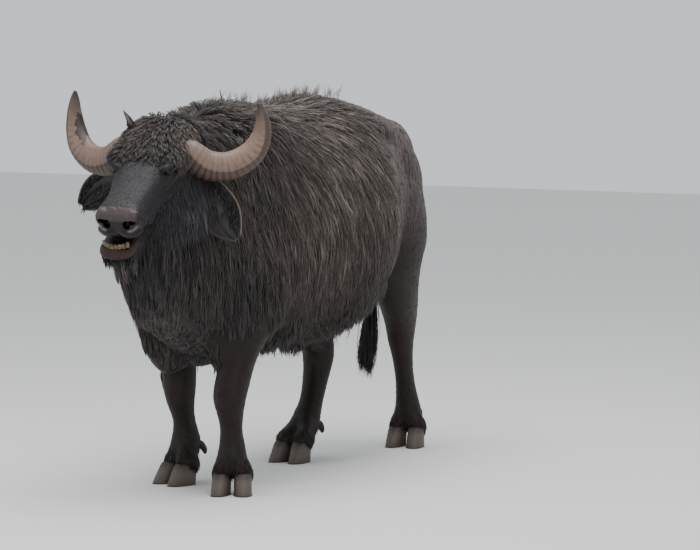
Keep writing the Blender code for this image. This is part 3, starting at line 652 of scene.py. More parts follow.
# Each point of the curve, from the base: outwards, back and up, and the horn's radius there
HORN_PATH = (
    (-0.035, 0.000, 0.006, 0.049),
    (0.000, 0.000, 0.000, 0.051),
    (0.065, 0.025, -0.033, 0.049),
    (0.135, 0.050, -0.030, 0.0465),
    (0.195, 0.075, 0.010, 0.042),
    (0.224, 0.090, 0.065, 0.035),
    (0.231, 0.085, 0.122, 0.025),
    (0.227, 0.074, 0.162, 0.016),
    (0.222, 0.062, 0.188, 0.006),
)
HORN_SAG = {LEFT: 0.0, RIGHT: 0.014}
HORN_LENGTH = 0.44
RIDGE_PITCH = 0.0135
# The keel's height on the horn's section is a share that falls from root to tip, down to a lowest value
KEEL_ROOT, KEEL_FALL, KEEL_LOW = 0.80, -2.60, -0.55
DENT_PITCH = 0.019


def ramp(values, low, high):
    """0 below low, 1 above high and smooth between; low may be the larger."""
    t = np.clip((values - low) / (high - low), 0, 1)
    return t * t * (3 - 2 * t)


def keel_turn(share):
    """Where the keel lies on the section, at a share of the horn's length."""
    return np.maximum(KEEL_LOW, KEEL_ROOT + KEEL_FALL * share)


def dented(share, below):
    """How deep the dents are: a row along the outer bend, a little above the keel."""
    row = np.maximum(0, np.sin(2 * np.pi * share * HORN_LENGTH / DENT_PITCH)) ** 2
    return row * np.exp(-(((share - 0.52) / 0.16) ** 2)) * np.exp(-(((below + 0.30) / 0.26) ** 2))


# %% Horns
def ridged(share, x, z):
    """Raises the growth ridges and the keel, and sinks the dents."""
    x, z = x * (1 - 0.22 * max(z, 0)), z * (1 + 0.10 * (1 - share))
    fade = max(0.0, 1 - share / 0.78)
    below = keel_turn(share) - z
    under = 0.22 + 0.78 * ramp(below, -0.04, 0.08)
    wave = math.sin(2 * math.pi * share * HORN_LENGTH / RIDGE_PITCH + 0.7 * x)
    ridge = 0.020 * fade * under * wave
    dent = 0.080 * dented(share, below)
    keel = 0.050 * math.exp(-((below / 0.12) ** 2)) * (1 - share)
    front = 1.0 if x > 0 else 0.0
    return x * (1 + ridge + front * (keel - dent)), z * (1 + ridge - front * dent)


def make_horn(name, side):
    """A flattened horn with growth ridges, and numbers for the share along it and the turn round it."""
    level = Matrix.Rotation(-HEAD_PITCH, 4, "X")
    rings = []
    for i, (out, back, up, r) in enumerate(HORN_PATH):
        sag = HORN_SAG[side] * math.sin(math.pi * i / (len(HORN_PATH) - 1)) ** 2
        x, y, z = level @ Vector((out, back, up - sag)) + HORN_BASE
        rings.append(Ring(side * x, y, z, r * 0.86, r * 1.02, r * 0.98))
    bm = bmesh.new()
    bm.verts.layers.float.new("share")
    bm.verts.layers.float.new("turn")
    add_loft(bm, rings, segments=40, power=2.3, per_span=18, side=Vector((0, -1, 0.25)), shape=ridged)
    bm.transform(HEAD)
    return finish_mesh(name, bm)


horns = [make_horn(f"horn_{label}_fine", side) for label, side in SIDES.items()]
print("horn", len(horns[0].data.polygons), "faces")

# %% [markdown]
# ## Ears
#
# Each ear is a leaf rolled to a tube at its root. It could be lofted like the horn, but a leaf is thin and
# open, so a flat grid is bent to its shape point by point and given its thickness with Solidify.

# %% Ear shape
EAR_LENGTH = 0.265
EAR_HALF = {LEFT: 0.074, RIGHT: 0.068}
EAR_ROOT = {LEFT: Vector((0.082, -0.050, -0.174)), RIGHT: Vector((0.108, -0.050, -0.174))}
# Each ear's line from root to tip, and the way that its hollow faces
EAR_POSE = {
    LEFT: (Vector((0.72, 0.00, -0.70)), Vector((0.30, -0.90, 0.10))),
    RIGHT: (Vector((-0.92, 0.10, -0.40)), Vector((0.20, -0.85, -0.45))),
}


def ear_point(side, share, turn):
    """A point of the ear's middle sheet: share runs from root to tip and turn from one edge to the other."""
    axis, opening = (v.normalized() for v in EAR_POSE[side])
    across = opening.cross(axis).normalized()
    opening = axis.cross(across).normalized()
    root = HEAD @ on_side(EAR_ROOT[side], side)
    half = EAR_HALF[side] * (0.42 + 0.58 * math.sin(math.pi * min(1.0, share / 1.1) ** 0.9))
    half *= math.sqrt(max(0.0, 1 - max(0.0, (share - 0.72) / 0.30) ** 2))
    roll = math.radians(150 - 95 * min(1.0, share * 1.6))
    radius = half / math.sin(min(roll, math.pi / 2)) if roll < math.pi / 2 else half
    angle = turn * roll
    out = across * (radius * math.sin(angle)) - opening * (radius * math.cos(angle) - radius)
    ripple = opening * (0.004 * math.sin(9 * turn + 5 * share) * share)
    droop = Vector((0, 0, -0.030)) * share**2
    return root + axis * (share * EAR_LENGTH) + out - opening * radius * 0.5 + droop + ripple


# %% Ears
def make_ear(name, side):
    """The ear's sheet, given its wall."""
    bm = bmesh.new()
    share_layer = bm.verts.layers.float.new("share")
    turn_layer = bm.verts.layers.float.new("turn")
    made = bmesh.ops.create_grid(bm, x_segments=34, y_segments=26, size=0.5)["verts"]
    for vert in made:
        share, turn = vert.co.x + 0.5, 2 * vert.co.y
        vert[share_layer], vert[turn_layer] = share, turn
        vert.co = ear_point(side, share, turn)
    ear = finish_mesh(name, bm)
    wall = ear.modifiers.new("wall", "SOLIDIFY")
    wall.thickness = 0.006
    wall.offset = 0.0
    apply_modifiers(ear)
    bm = bmesh.new()
    bm.from_mesh(ear.data)
    bmesh.ops.recalc_face_normals(bm, faces=bm.faces)
    bm.to_mesh(ear.data)
    bm.free()
    ear.data.shade_smooth()
    return ear


ears = [make_ear(f"ear_{label}_fine", side) for label, side in SIDES.items()]
print("ear", len(ears[0].data.polygons), "faces")

# %% [markdown]
# ## Hooves, eyes and teeth
#
# These are hard, so each keeps an edge that the hide doesn't have, and none is fused with it. A claw is a
# level loft with a bevelled sole, its wall ringed by slow growth. The eye is a wet dark ball behind half
# closed lids. The eight lower front teeth are small rounded blocks on an arc.


# %% Claws
def claw_wall(share, x, z):
    """Slow growth rings round the wall."""
    grow = 1 + 0.012 * math.sin(2 * math.pi * share * 7 + 2 * x) * (0.2 < share < 0.97)
    return x * grow, z * grow


def make_claw(name, foot, side):
    """One claw: a flat sole, a long sloping toe wall and a low heel."""
    rings = (
        Ring(0.0, 0.000, CLAW_HEIGHT, 0.022, 0.028, 0.032),
        Ring(0.0, 0.000, CLAW_HEIGHT - 0.008, 0.029, 0.040, 0.044),
        Ring(0.0, -0.003, 0.045, 0.031, 0.045, 0.056),
        Ring(0.0, -0.007, 0.014, 0.0315, 0.046, 0.0695),
        Ring(0.0, -0.008, 0.000, 0.031, 0.046, 0.073),
    )
    bm = bmesh.new()
    add_loft(bm, rings, segments=28, power=2.4, per_span=5, level=True, shape=claw_wall)
    sole = [e for e in bm.edges if all(v.co.z < 0.0005 for v in e.verts)]
    bmesh.ops.bevel(bm, geom=sole, offset=0.003, segments=2, profile=0.5, affect="EDGES", material=-1)
    turn = Matrix.Rotation(side * CLAW_SPLAY, 4, "Z")
    bm.transform(foot_frame(foot) @ Matrix.Translation((side * CLAW_SPREAD, 0, 0)) @ turn)
    return finish_mesh(name, bm)


def make_dewclaw(name, foot, side):
    """A small blunt horn behind the fetlock."""
    fetlock = foot.leg[-2]
    root = foot_frame(foot).inverted() @ Vector((fetlock.x, fetlock.y, fetlock.z - 0.018))
    rings = (
        Ring(root.x + side * 0.022, root.y + 0.022, root.z + 0.012, 0.010, 0.010, 0.010),
        Ring(root.x + side * 0.026, root.y + 0.046, root.z, 0.015, 0.013, 0.013),
        Ring(root.x + side * 0.028, root.y + 0.062, root.z - 0.020, 0.012, 0.010, 0.010),
        Ring(root.x + side * 0.028, root.y + 0.066, root.z - 0.036, 0.005, 0.004, 0.004),
    )
    bm = bmesh.new()
    add_loft(bm, rings, segments=16, per_span=4)
    bm.transform(foot_frame(foot))
    return finish_mesh(name, bm)


claws = {}
for label, foot in FEET.items():
    for which, side in (("outer", math.copysign(1, foot.x)), ("inner", -math.copysign(1, foot.x))):
        claws[f"claw_{label}_{which}"] = make_claw(f"claw_{label}_{which}_fine", foot, side)
        claws[f"dewclaw_{label}_{which}"] = make_dewclaw(f"dewclaw_{label}_{which}_fine", foot, side)
print("claws and dewclaws", len(claws))

# %% Eyes
eyes = []
for label, side in SIDES.items():
    bm = bmesh.new()
    place = HEAD @ Matrix.Translation(on_side(EYE_CENTRE, side))
    bmesh.ops.create_uvsphere(bm, u_segments=40, v_segments=24, radius=EYE_RADIUS, matrix=place)
    eyes.append(finish_mesh(f"eye_{label}_fine", bm))
print("eyes", len(eyes), "of", 2000 * EYE_RADIUS, "mm across")

# %% Teeth
# Width, depth and height of a tooth, the step to the next one, and the radius of their arc
TOOTH_COUNT = 8
TOOTH_SIZE = (0.0136, 0.0075, 0.028)
TOOTH_PITCH = 0.0130
TOOTH_ARC = 0.055
TOOTH_ROW = (JAW_SLIDE + 0.005, -0.491, -0.1785)


def make_tooth(place):
    """A block with rounded corners, narrower at its root, thinner and worn at its crown."""
    tooth = bmesh.new()
    bmesh.ops.create_cube(tooth, size=1.0)
    bmesh.ops.subdivide_edges(tooth, edges=tooth.edges, cuts=3, use_grid_fill=True)
    wide, deep, tall = TOOTH_SIZE
    for vert in tooth.verts:
        x, y, z = vert.co
        narrow = 1.0 - 0.04 * max(0.0, z) ** 2 * 4 - 0.10 * max(0.0, -z)
        round_off = 1.0 - 0.9 * (x * x) * (y * y) * 4
        vert.co = (wide * x * narrow * round_off, deep * y * (1 - 0.45 * max(0.0, z)), tall * z)
        vert.co.y -= 0.004 * (z + 0.5)
        vert.co.z -= 0.0022 * (2 * abs(x)) ** 3 * max(0.0, 2 * z)
    tooth.transform(place)
    return tooth


bm = bmesh.new()
for k in range(TOOTH_COUNT):
    turn = (k - (TOOTH_COUNT - 1) / 2) * TOOTH_PITCH / TOOTH_ARC
    across, ahead = TOOTH_ARC * math.sin(turn), TOOTH_ARC * (math.cos(turn) - 1)
    seat = Matrix.Translation((TOOTH_ROW[0] + across, TOOTH_ROW[1] - ahead, TOOTH_ROW[2]))
    add_part(bm, make_tooth(HEAD @ (seat @ Matrix.Rotation(turn, 4, "Z"))))
teeth = finish_mesh("teeth_fine", bm)
print("teeth", TOOTH_COUNT, "faces", len(teeth.data.polygons))

# %% [markdown]
# ## Marking out the skin
#
# The hide changes from place to place: bare wet muzzle, brown lips, short grey hair on the face, smooth brown
# thighs, and the long coat of trunk and neck. The borders could be painted by hand, but they are worked out,
# once for every point of the skin, as numbers from 0 to 1. So the hide's material and the hair that grows
# from it follow the same borders.

# %% Borders of the face
FRAME_IN = np.array(HEAD.inverted())
JAW_Y = [ring.y for ring in JAW][::-1]
JAW_LOW = [ring.z - ring.down for ring in JAW][::-1]


def to_head(points):
    """The points in the head's own frame."""
    return points @ FRAME_IN[:3, :3].T + FRAME_IN[:3, 3]


def nose_rim(qx, qz):
    """The pale ring round the outer and lower side of each nostril."""
    (cx, _, cz), (hx, _, hz) = NOSTRIL[0]
    rim = np.zeros(len(qx))
    for side in SIDES.values():
        off = np.hypot((qx - side * (cx + 0.008)) / (hx + 0.008), (qz - cz) / hz)
        outer = ramp(side * qx, cx - 0.004, cx + 0.010) * ramp(qz, cz + 0.004, cz - 0.010)
        rim += np.exp(-(((off - 1.25) / 0.22) ** 2)) * outer
    return rim


def face_zones(points):
    """The share that each kind of skin of the head has at every point, by name."""
    q = to_head(points)
    qx, qy, qz = q.T
    aside = np.abs(qx)
    low = np.interp(qy, JAW_Y, JAW_LOW)
    on_head = ramp(qy, 0.035, 0.005) * (aside < 0.17) * ramp(qz, low - 0.022, low - 0.006) * (qy > -0.56)
    muzzle = ramp(qy, -0.440, -0.470) * ramp(qz, -0.125, -0.112) * on_head
    nose_top = ramp(qz, -0.064, -0.050) * muzzle * ramp(aside, 0.080, 0.062) * ramp(qy, -0.462, -0.478)
    lip = ramp(qy, -0.400, -0.440) * ramp(qz, -0.222, -0.205) * ramp(qz, -0.118, -0.135) * on_head
    # The gap of the mouth and the nostril hollows, which the hide paints near black as painted shade
    mouth = ramp(qy, -0.496, -0.480) * (qz < -0.118) * (qz > -0.188) * on_head
    mouth *= ramp(np.abs(qx + 0.025), 0.076, 0.064)
    for centre, half in NOSTRIL:
        offset = (np.stack((aside, qy, qz), axis=1) - centre) / half
        mouth = np.maximum(mouth, (np.linalg.norm(offset, axis=1) < 1.05) * on_head)
    return {
        "head": on_head,
        "muzzle": muzzle,
        "nose_top": nose_top,
        "nose_rim": nose_rim(qx, qz) * muzzle,
        "lip": lip,
        "mouth": mouth,
        "bridge": on_head * ramp(aside, 0.100, 0.030) * ramp(qy, -0.150, -0.240) * ramp(qz, -0.110, -0.050),
        "crown": on_head * ramp(qy, -0.262, -0.145) * ramp(qz, -0.085, -0.045),
        "cheek": on_head * ramp(qz, -0.085, -0.150) * ramp(qy, -0.400, -0.300),
        "chin": on_head * ramp(qz, low + 0.035, low + 0.008) * ramp(qy, -0.495, -0.470),
    }


# %% Borders of the body
def body_zones(points, normals, on_head):
    """The share of long coat, of short hair, and of sun-greyed hide with painted sky light, at each point
    of trunk, neck and legs.
    """
    x, y, z = points.T
    wave = 0.012 * np.sin(23 * z + 9 * y) + 0.008 * np.sin(61 * z + 4)
    hind_edge = 0.455 + 0.085 * ramp(z, 0.75, 1.25) + wave
    behind = ramp(y, hind_edge - 0.03, hind_edge + 0.035)
    elbow = np.where(x > 0, 0.645, 0.53)
    ahead = ramp(y, np.where(x > 0, -0.19, -0.11), -0.24)
    leg = ramp(z, elbow, elbow - 0.05) * ramp(np.abs(x), 0.09, 0.14) * ahead
    leg = np.maximum(leg, ramp(z, 0.47, 0.44))
    leg = np.maximum(leg, (y > 0.44) * ramp(z, 0.60, 0.54) * (np.abs(x) > 0.05))
    return {
        "long": (1 - on_head) * (1 - behind) * (1 - leg),
        "leg": np.maximum(leg, behind) * (1 - on_head),
        # What faces up high on the body is paler grey: partly sun-greyed hair, partly painted light from the
        # sky
        "sun_and_sky_light": ramp(normals[:, 2], -0.7, 0.7) * ramp(z, 0.68, 1.10),
    }


def mark_points(mesh, name, values):
    """Gives every vertex of the mesh a number of this name."""
    mesh.attributes.new(name, "FLOAT", "POINT").data.foreach_set("value", values)


SKIN_AT, SKIN_OUT = read(hide.data, "co"), read(hide.data, "normal")
ZONES = face_zones(SKIN_AT)
ZONES.update(body_zones(SKIN_AT, SKIN_OUT, ZONES["head"]))
for label, values in ZONES.items():
    mark_points(hide.data, label, values)
print("zones", {label: round(float(values.mean()), 3) for label, values in ZONES.items()})

# %% [markdown]
# ## How hair grows
#
# Hair could be combed by hand as Blender's hair curves, but the finished model needs real meshes, so it is
# grown in code. Only one hair in every few is worked out in full. Such a guide starts on the hide, follows
# the lie of the coat at its place, turns down with its weight and keeps its height over the skin beneath. The
# tufts round it follow the same path and draw together towards its tip, which makes the pointed, wavy locks.
# Where the hide faces down, the hair leaves it and hangs.

# %% Roots
Field = namedtuple("Field", "lie length depth hang width curl bleach")
DOWN = Vector((0, 0, -1))
SKIN_FACES = np.empty(len(hide.data.polygons) * 3, np.int32)
hide.data.polygons.foreach_get("vertices", SKIN_FACES)
SKIN_FACES = SKIN_FACES.reshape(-1, 3)


def unit(vectors):
    """The vectors at length 1."""
    return vectors / (np.linalg.norm(vectors, axis=-1, keepdims=True) + 1e-9)


def columns(*parts):
    """Vectors from their three components, each an array or one number."""
    return np.stack(np.broadcast_arrays(*parts), axis=1)


def scatter(weight, count, rng):
    """Random points on the skin, denser where the weight is higher, with their normals."""
    a, b, c = (SKIN_AT[SKIN_FACES[:, k]] for k in range(3))
    area = np.linalg.norm(np.cross(b - a, c - a), axis=1) * weight[SKIN_FACES].mean(axis=1)
    chosen = rng.choice(len(SKIN_FACES), count, p=area / area.sum())
    r, s = rng.random(count), rng.random(count)
    r, s = np.where(r + s > 1, 1 - r, r)[:, None], np.where(r + s > 1, 1 - s, s)[:, None]
    places = a[chosen] + r * (b[chosen] - a[chosen]) + s * (c[chosen] - a[chosen])
    return places, unit(SKIN_OUT[SKIN_FACES[chosen]].mean(axis=1))


# %% Guides
def trace(roots, outs, field, steps=6):
    """The guides' paths over the skin, and their outward side at each point."""
    paths = np.empty((len(roots), steps + 1, 3))
    sides = np.empty_like(paths)
    for i, root in enumerate(roots):
        point, out = Vector(root), Vector(outs[i])
        lie, hang = Vector(field.lie[i]), float(field.hang[i])
        step, depth = field.length[i] / steps, field.depth[i]
        paths[i, 0], sides[i, 0] = point - out * 0.003, out
        for k in range(1, steps + 1):
            share = k / steps
            way = (lie + DOWN * (0.55 * share)).lerp(DOWN, hang)
            along = (way - out * (way.dot(out) * (1 - hang))).normalized()
            ahead = point + along * step
            near, normal, index, distance = SKIN.find_nearest(ahead)
            laid = near + normal * (depth * (1 - (1 - share) ** 2.2))
            loose = hang * (1 if (ahead - near).dot(normal) > 0.001 else 0)
            point = laid.lerp(ahead, loose)
            out = normal.lerp(out, max(loose, 0.35)).normalized()
            paths[i, k], sides[i, k] = point, out
    return paths, sides


def strand_frame(line, out):
    """The direction along each path and across it, at right angles to its outward side."""
    along = unit(np.gradient(line, axis=1))
    return along, unit(np.cross(along, out))


# %% Comb
# The locks are wavy, with 75 mm from one wave to the next
WAVE_LENGTH = 0.075


def comb(count, weight, field_at, spacing, sections, rng, gather=0.75):
    """Grows tufts: their paths, outward sides, widths, tones, bleaching with painted light, and roots. gather
    draws a lock together."""
    roots, outs = scatter(weight, count, rng)
    chosen = np.unique(np.floor(roots / spacing).astype(int), axis=0, return_index=True)[1]
    tree = kdtree.KDTree(len(chosen))
    for i, root in enumerate(roots[chosen]):
        tree.insert(root, i)
    tree.balance()
    mine = np.array([tree.find(root)[1] for root in roots])
    field = field_at(roots, outs, rng)
    field = Field(field.lie, *(np.broadcast_to(values, count) for values in field[1:]))
    guide = Field(*(values[chosen] for values in field))
    paths, sides = trace(roots[chosen], outs[chosen], guide)

    # Each tuft takes a part of its guide's path, shifted to its own root
    t = np.linspace(0, 1, sections + 1)[None, :] * rng.uniform(0.72, 1.0, (count, 1))
    at = t * (paths.shape[1] - 1)
    low = np.minimum(at.astype(int), paths.shape[1] - 2)
    part, here = (at - low)[..., None], mine[:, None]
    line = paths[here, low] * (1 - part) + paths[here, low + 1] * part
    out = sides[here, low] * (1 - part) + sides[here, low + 1] * part
    offset = (roots - roots[chosen][mine])[:, None, :]
    line = line + offset * (1 - gather * t[..., None] ** 0.9)
    level = rng.uniform(0.0, 0.75, (count, 1, 1)) ** 1.3
    sink = (guide.depth * (1 - guide.hang))[mine][:, None, None]
    line -= out * (sink * level * (1 - (1 - t[..., None]) ** 2))

    # The waves of a lock run together, and a few hairs stray from it
    across = strand_frame(line, out)[1]
    phase = rng.uniform(0, 1, len(chosen))[mine][:, None] + rng.normal(0, 0.07, (count, 1))
    length, curl = guide.length[mine][:, None], guide.curl[mine][:, None]
    angle = 2 * np.pi * (t * length / WAVE_LENGTH + phase)
    line += across * (curl * np.minimum(1, 1.8 * t) * np.sin(angle))[..., None]
    line += out * (0.4 * curl * t * np.cos(angle))[..., None]
    line += across * (rng.normal(0, 1, (count, 1, 1)) * 0.05 * length[..., None] * t[..., None] ** 1.5)
    tone = np.clip(0.55 * rng.random(len(chosen))[mine] + 0.45 * rng.random(count), 0, 1)
    width = field.width * rng.uniform(0.7, 1.3, count)
    return line, out, width, tone, field.bleach, roots


# %% [markdown]
# ## From path to tuft
#
# A tuft is a thin three-sided blade: a few rings of three points and one tip. It is as wide as some twenty
# real hairs that lie together, since at this distance one hair would be far finer than a pixel. Thousands are
# joined in each mesh straight from arrays, because that many objects, or one operator call for each, would
# take hours. The UV map keeps each tuft as one small patch at its root's place on an unwrapped skin.

# %% Tufts
# The width at shares of a tuft's length, and the size of its patch on the UV map
TAPER = ((0.0, 0.55), (0.15, 0.9), (0.4, 1.0), (0.7, 0.75), (0.9, 0.38), (1.0, 0.0))
PATCH = 0.003
tuft_pieces = {}


def tuft_template(sections):
    """The triangles of one tuft."""
    faces = [(0, 1, 2)]
    for r in range(sections - 1):
        for j in range(3):
            a, b = 3 * r + j, 3 * r + (j + 1) % 3
            faces += [(a, a + 3, b + 3), (a, b + 3, b)]
    last = 3 * (sections - 1)
    return np.array(faces + [(last + j, last + 3, last + (j + 1) % 3) for j in range(3)])


def blades(line, out, width):
    """The points of every tuft: rings of three along its path, and its tip."""
    along, across = strand_frame(line, out)
    up = np.cross(across, along)
    t = np.linspace(0, 1, line.shape[1])
    half = (0.5 * width[:, None] * np.interp(t, *zip(*TAPER)))[..., None]
    foot = line - up * half * 0.3
    rings = np.stack((foot - across * half, foot + across * half, line + up * half * 0.6), 2)
    return np.concatenate((rings[:, :-1].reshape(len(line), -1, 3), line[:, -1:]), axis=1)


def tuft_mesh(name, tufts, unwrap):
    """One object of many tufts. unwrap gives each root its place on the unwrapped skin."""
    line, out, width, tone, bleach, roots = tufts
    count, sections = len(line), line.shape[1] - 1
    co = blades(line, out, width)
    size = co.shape[1]
    faces = (tuft_template(sections)[None] + (np.arange(count) * size)[:, None, None]).reshape(-1, 3)
    mesh = bpy.data.meshes.new(name)
    mesh.vertices.add(count * size)
    mesh.vertices.foreach_set("co", co.ravel())
    mesh.loops.add(faces.size)
    mesh.loops.foreach_set("vertex_index", faces.ravel().astype(np.int32))
    mesh.polygons.add(len(faces))
    mesh.polygons.foreach_set("loop_start", np.arange(0, faces.size, 3, dtype=np.int32))
    # Each point knows its turn round the tuft, its share along it and the tuft's tone
    turn = np.concatenate((np.tile((0.0, 1.0, 0.5), sections), (0.5,)))
    share = np.concatenate((np.repeat(np.linspace(0, 1, sections + 1)[:-1], 3), (1.0,)))
    strand = np.stack(np.broadcast_arrays(turn[None], share[None], tone[:, None]), axis=2)
    mesh.attributes.new("strand", "FLOAT_VECTOR", "POINT").data.foreach_set("vector", strand.ravel())
    mark_points(mesh, "bleach", np.repeat(bleach, size))
    place = unwrap(roots)
    place = 0.002 + (place - place.min(axis=0)) / (np.ptp(place, axis=0) + 1e-9) * (0.996 - PATCH)
    patch = place[:, None, :] + PATCH * np.stack((turn, share), axis=1)[None]
    mesh.uv_layers.new(name="OFBake").uv.foreach_set("vector", patch.reshape(-1, 2)[faces.ravel()].ravel())
    mesh.update()
    mesh.shade_smooth()
    tuft_pieces[name] = put(name, mesh)
    print(name, count, "tufts,", len(faces), "triangles")


# %% Unwrapped skins
def round_trunk(points):
    """The trunk's skin unrolled: along the body, and round it."""
    return np.stack((points[:, 1], np.arctan2(points[:, 0], points[:, 2] - 0.95)), axis=1)


def round_head(points):
    """The head's skin unrolled: from muzzle to poll, and round it."""
    q = to_head(points)
    return np.stack((q[:, 1], np.arctan2(q[:, 0], q[:, 2] + 0.13)), axis=1)


def round_legs(points):
    """The skin of legs and rump unrolled, each leg beside the next."""
    which = (points[:, 0] > 0) * 1.0 + (points[:, 1] > 0.2) * 2.0
    centre = np.where(points[:, 1] > 0.2, 0.85, -0.35)
    turn = np.arctan2(np.abs(points[:, 0]) - 0.12, points[:, 1] - centre) / (2 * np.pi) + 0.5
    return np.stack((which + 0.96 * turn, points[:, 2]), axis=1)


# %% [markdown]
# ## The long coat
#
# On the back the hair lies towards the tail, on the flank it turns down in long wavy locks, and it ends in a
# # fringe under the belly and in front of the smooth thigh. On the brisket it is shorter and lies close. Sun
# # has bleached it brown high on the trunk, and the paler top is partly painted light from the sky. A bump
# # could not give the ragged outline, so every lock is a shape.

# %% Long coat
# Guides stand 22 mm apart, and a tuft of four sections can bend twice
LONG_COUNT = 42500
COAT_STEP = 0.022
LONG_SECTIONS = 4


def long_field(points, normals, rng):
    """Lie, length, depth, hang, width, curl, and bleaching with painted light, of the coat at each point."""
    x, y, z = points.T
    facing = normals[:, 2]
    side = np.clip(x / 0.05, -1, 1)
    up, down = ramp(facing, 0.45, 0.9), ramp(facing, -0.25, -0.75)
    front, rear = ramp(y, -0.20, -0.50), ramp(y, 0.57, 0.30)
    crest = front * ramp(z, 1.12, 1.28)
    chest = ramp(y, -0.12, -0.28) * ramp(z, 0.76, 0.56)
    back = np.interp(z, (0.6, 0.85, 1.10, 1.25, 1.34), (0.02, 0.12, 0.38, 0.75, 1.0))
    back = back * (1 - 0.45 * front) * (1 - 0.55 * front)
    swirl = 0.10 * np.sin(7 * y + 3 * z) * np.sin(5 * z + 1.3)
    fall = np.interp(z, (0.9, 1.15, 1.30, 1.36), (1.0, 0.95, 0.55, 0.12))
    lie = np.stack((side * (0.25 + 0.55 * front) * up, back + swirl, -fall), axis=1)
    lie = unit(lie + rng.normal(0, 0.055, lie.shape))
    length = np.interp(facing, (-1, -0.6, -0.1, 0.2, 0.7, 1.0), (0.050, 0.100, 0.165, 0.160, 0.125, 0.085))
    length *= (1 - 0.30 * crest) * (1 - 0.62 * chest) * rng.uniform(0.8, 1.15, len(z))
    length *= 0.65 + 0.35 * rear
    depth = np.interp(facing, (-1, 0, 1), (0.024, 0.029, 0.026))
    depth *= (0.25 + 0.75 * rear) * (1 - 0.75 * chest)
    hang = 0.9 * ramp(facing, -0.02, -0.38) * (1 - chest)
    curl = 0.0036 + 0.0050 * crest + 0.002 * down
    patch = 0.16 * np.sin(9 * y + 3 * z) * np.sin(8 * z - 3 * y + 1)
    # Paler high on the trunk and on the crest: partly sun-bleached hair, partly painted light from the sky
    bleach = -0.25 + 0.85 * ramp(z, 0.58, 1.05) * ramp(y, -0.62, -0.10) + 0.20 * crest + patch
    return Field(lie, length, depth, hang, 0.0041 - 0.0006 * up, curl, bleach)


rng = np.random.default_rng(7)
coat = comb(LONG_COUNT, ZONES["long"] ** 2, long_field, COAT_STEP, LONG_SECTIONS, rng, 0.62)
coat_roots = coat[-1]
for label, side in SIDES.items():
    mine = np.flatnonzero(np.sign(coat_roots[:, 0]) == side)
    mine = mine[np.argsort(coat_roots[mine, 1])]
    for part, index in zip(("front", "middle", "rear"), np.array_split(mine, 3)):
        tuft_mesh(f"coat_{label}_{part}", [values[index] for values in coat], round_trunk)

# %% [markdown]
# ## Hair of the head
#
# Between the horns the hair is a thick curly pad that falls over the forehead. Long grey hair flows down the
# cheeks to a beard under the chin. The rest of the face has short hair that lies towards the muzzle. All
# three grow as the coat does, each with a lie given in the head's own frame.


# %% Hair of crown, cheeks and chin
def head_lie(lie):
    """Directions in the head's own frame, turned to the world."""
    return unit(lie @ np.array(HEAD.to_3x3()).T)


def head_field(points, normals, rng):
    """The longer hair of crown, cheeks and chin."""
    kinds = face_zones(points)
    crown, cheek, chin = kinds["crown"], kinds["cheek"], kinds["chin"]
    qx, qy, qz = to_head(points).T
    lie = columns(0.7 * qx / 0.12, -0.9, -0.35) * crown[:, None]
    lie += np.array((0, -0.40, -1.0)) * np.maximum(cheek, chin)[:, None]
    lie += rng.normal(0, 0.10, lie.shape) * (0.6 + crown[:, None])
    jaw = cheek * ramp(qy, -0.38, -0.14)
    length = 0.018 + 0.040 * crown + 0.046 * jaw + 0.050 * chin
    depth = 0.003 + 0.014 * crown + 0.003 * cheek + 0.006 * chin
    hang = 0.9 * ramp(normals[:, 2], -0.2, -0.7)
    # A little paler on the crown, and much paler low on the jaw: pale hair there, partly a painted sheen
    bleach = 0.05 + 0.14 * crown + 0.55 * jaw * ramp(qz, -0.15, -0.23)
    return Field(head_lie(lie), length, depth, hang, 0.0026 + 0.0006 * crown, 0.0010 + 0.0026 * crown, bleach)


bare = np.maximum.reduce([ZONES["muzzle"], ZONES["lip"], ZONES["mouth"]])
skin_q = to_head(SKIN_AT)
eye_away = [np.linalg.norm(skin_q - np.array(on_side(EYE_CENTRE, side)), axis=1) for side in SIDES.values()]
eye_gap = np.minimum(1, np.minimum(*eye_away) / 0.036) ** 6
tuft_mesh("crown_hair", comb(4300, ZONES["crown"] * eye_gap, head_field, 0.012, 4, rng, 0.5), round_head)
lower = np.maximum(ZONES["cheek"], ZONES["chin"] * 1.4) * (1 - bare) * eye_gap
tuft_mesh("cheek_hair", comb(4600, lower, head_field, 0.012, 4, rng, 0.45), round_head)


# %% Hair of the face
def face_field(points, normals, rng):
    """The short hair of the face, flat and towards the muzzle."""
    qx, qy, qz = to_head(points).T
    lie = columns(0.5 * qx / 0.1, -0.8, -0.8 * ramp(np.abs(qx), 0.03, 0.09))
    lie += rng.normal(0, 0.12, lie.shape)
    # Paler towards the top of the face: partly sun-bleached hair, partly painted light from the sky
    return Field(head_lie(lie), 0.012, 0.0009, 0, 0.0011, 0.0002, 0.05 + 0.25 * ramp(qz, -0.06, -0.01))


covered = 0.8 * np.maximum(ZONES["crown"], ZONES["cheek"])
short = ZONES["head"] * (1 - bare) * (1 - covered) * (1 - 0.5 * ZONES["bridge"]) * eye_gap
tuft_mesh("face_hair", comb(9000, short, face_field, 0.008, 3, rng, 0.1), round_head)

# %% [markdown]
# ## Short hair of rump and legs
#
# This hair is flat and glossy, so most of it is bump in the hide's material. Small tufts break the outline,
# most of all over the hooves, where a smooth edge would look like plastic.


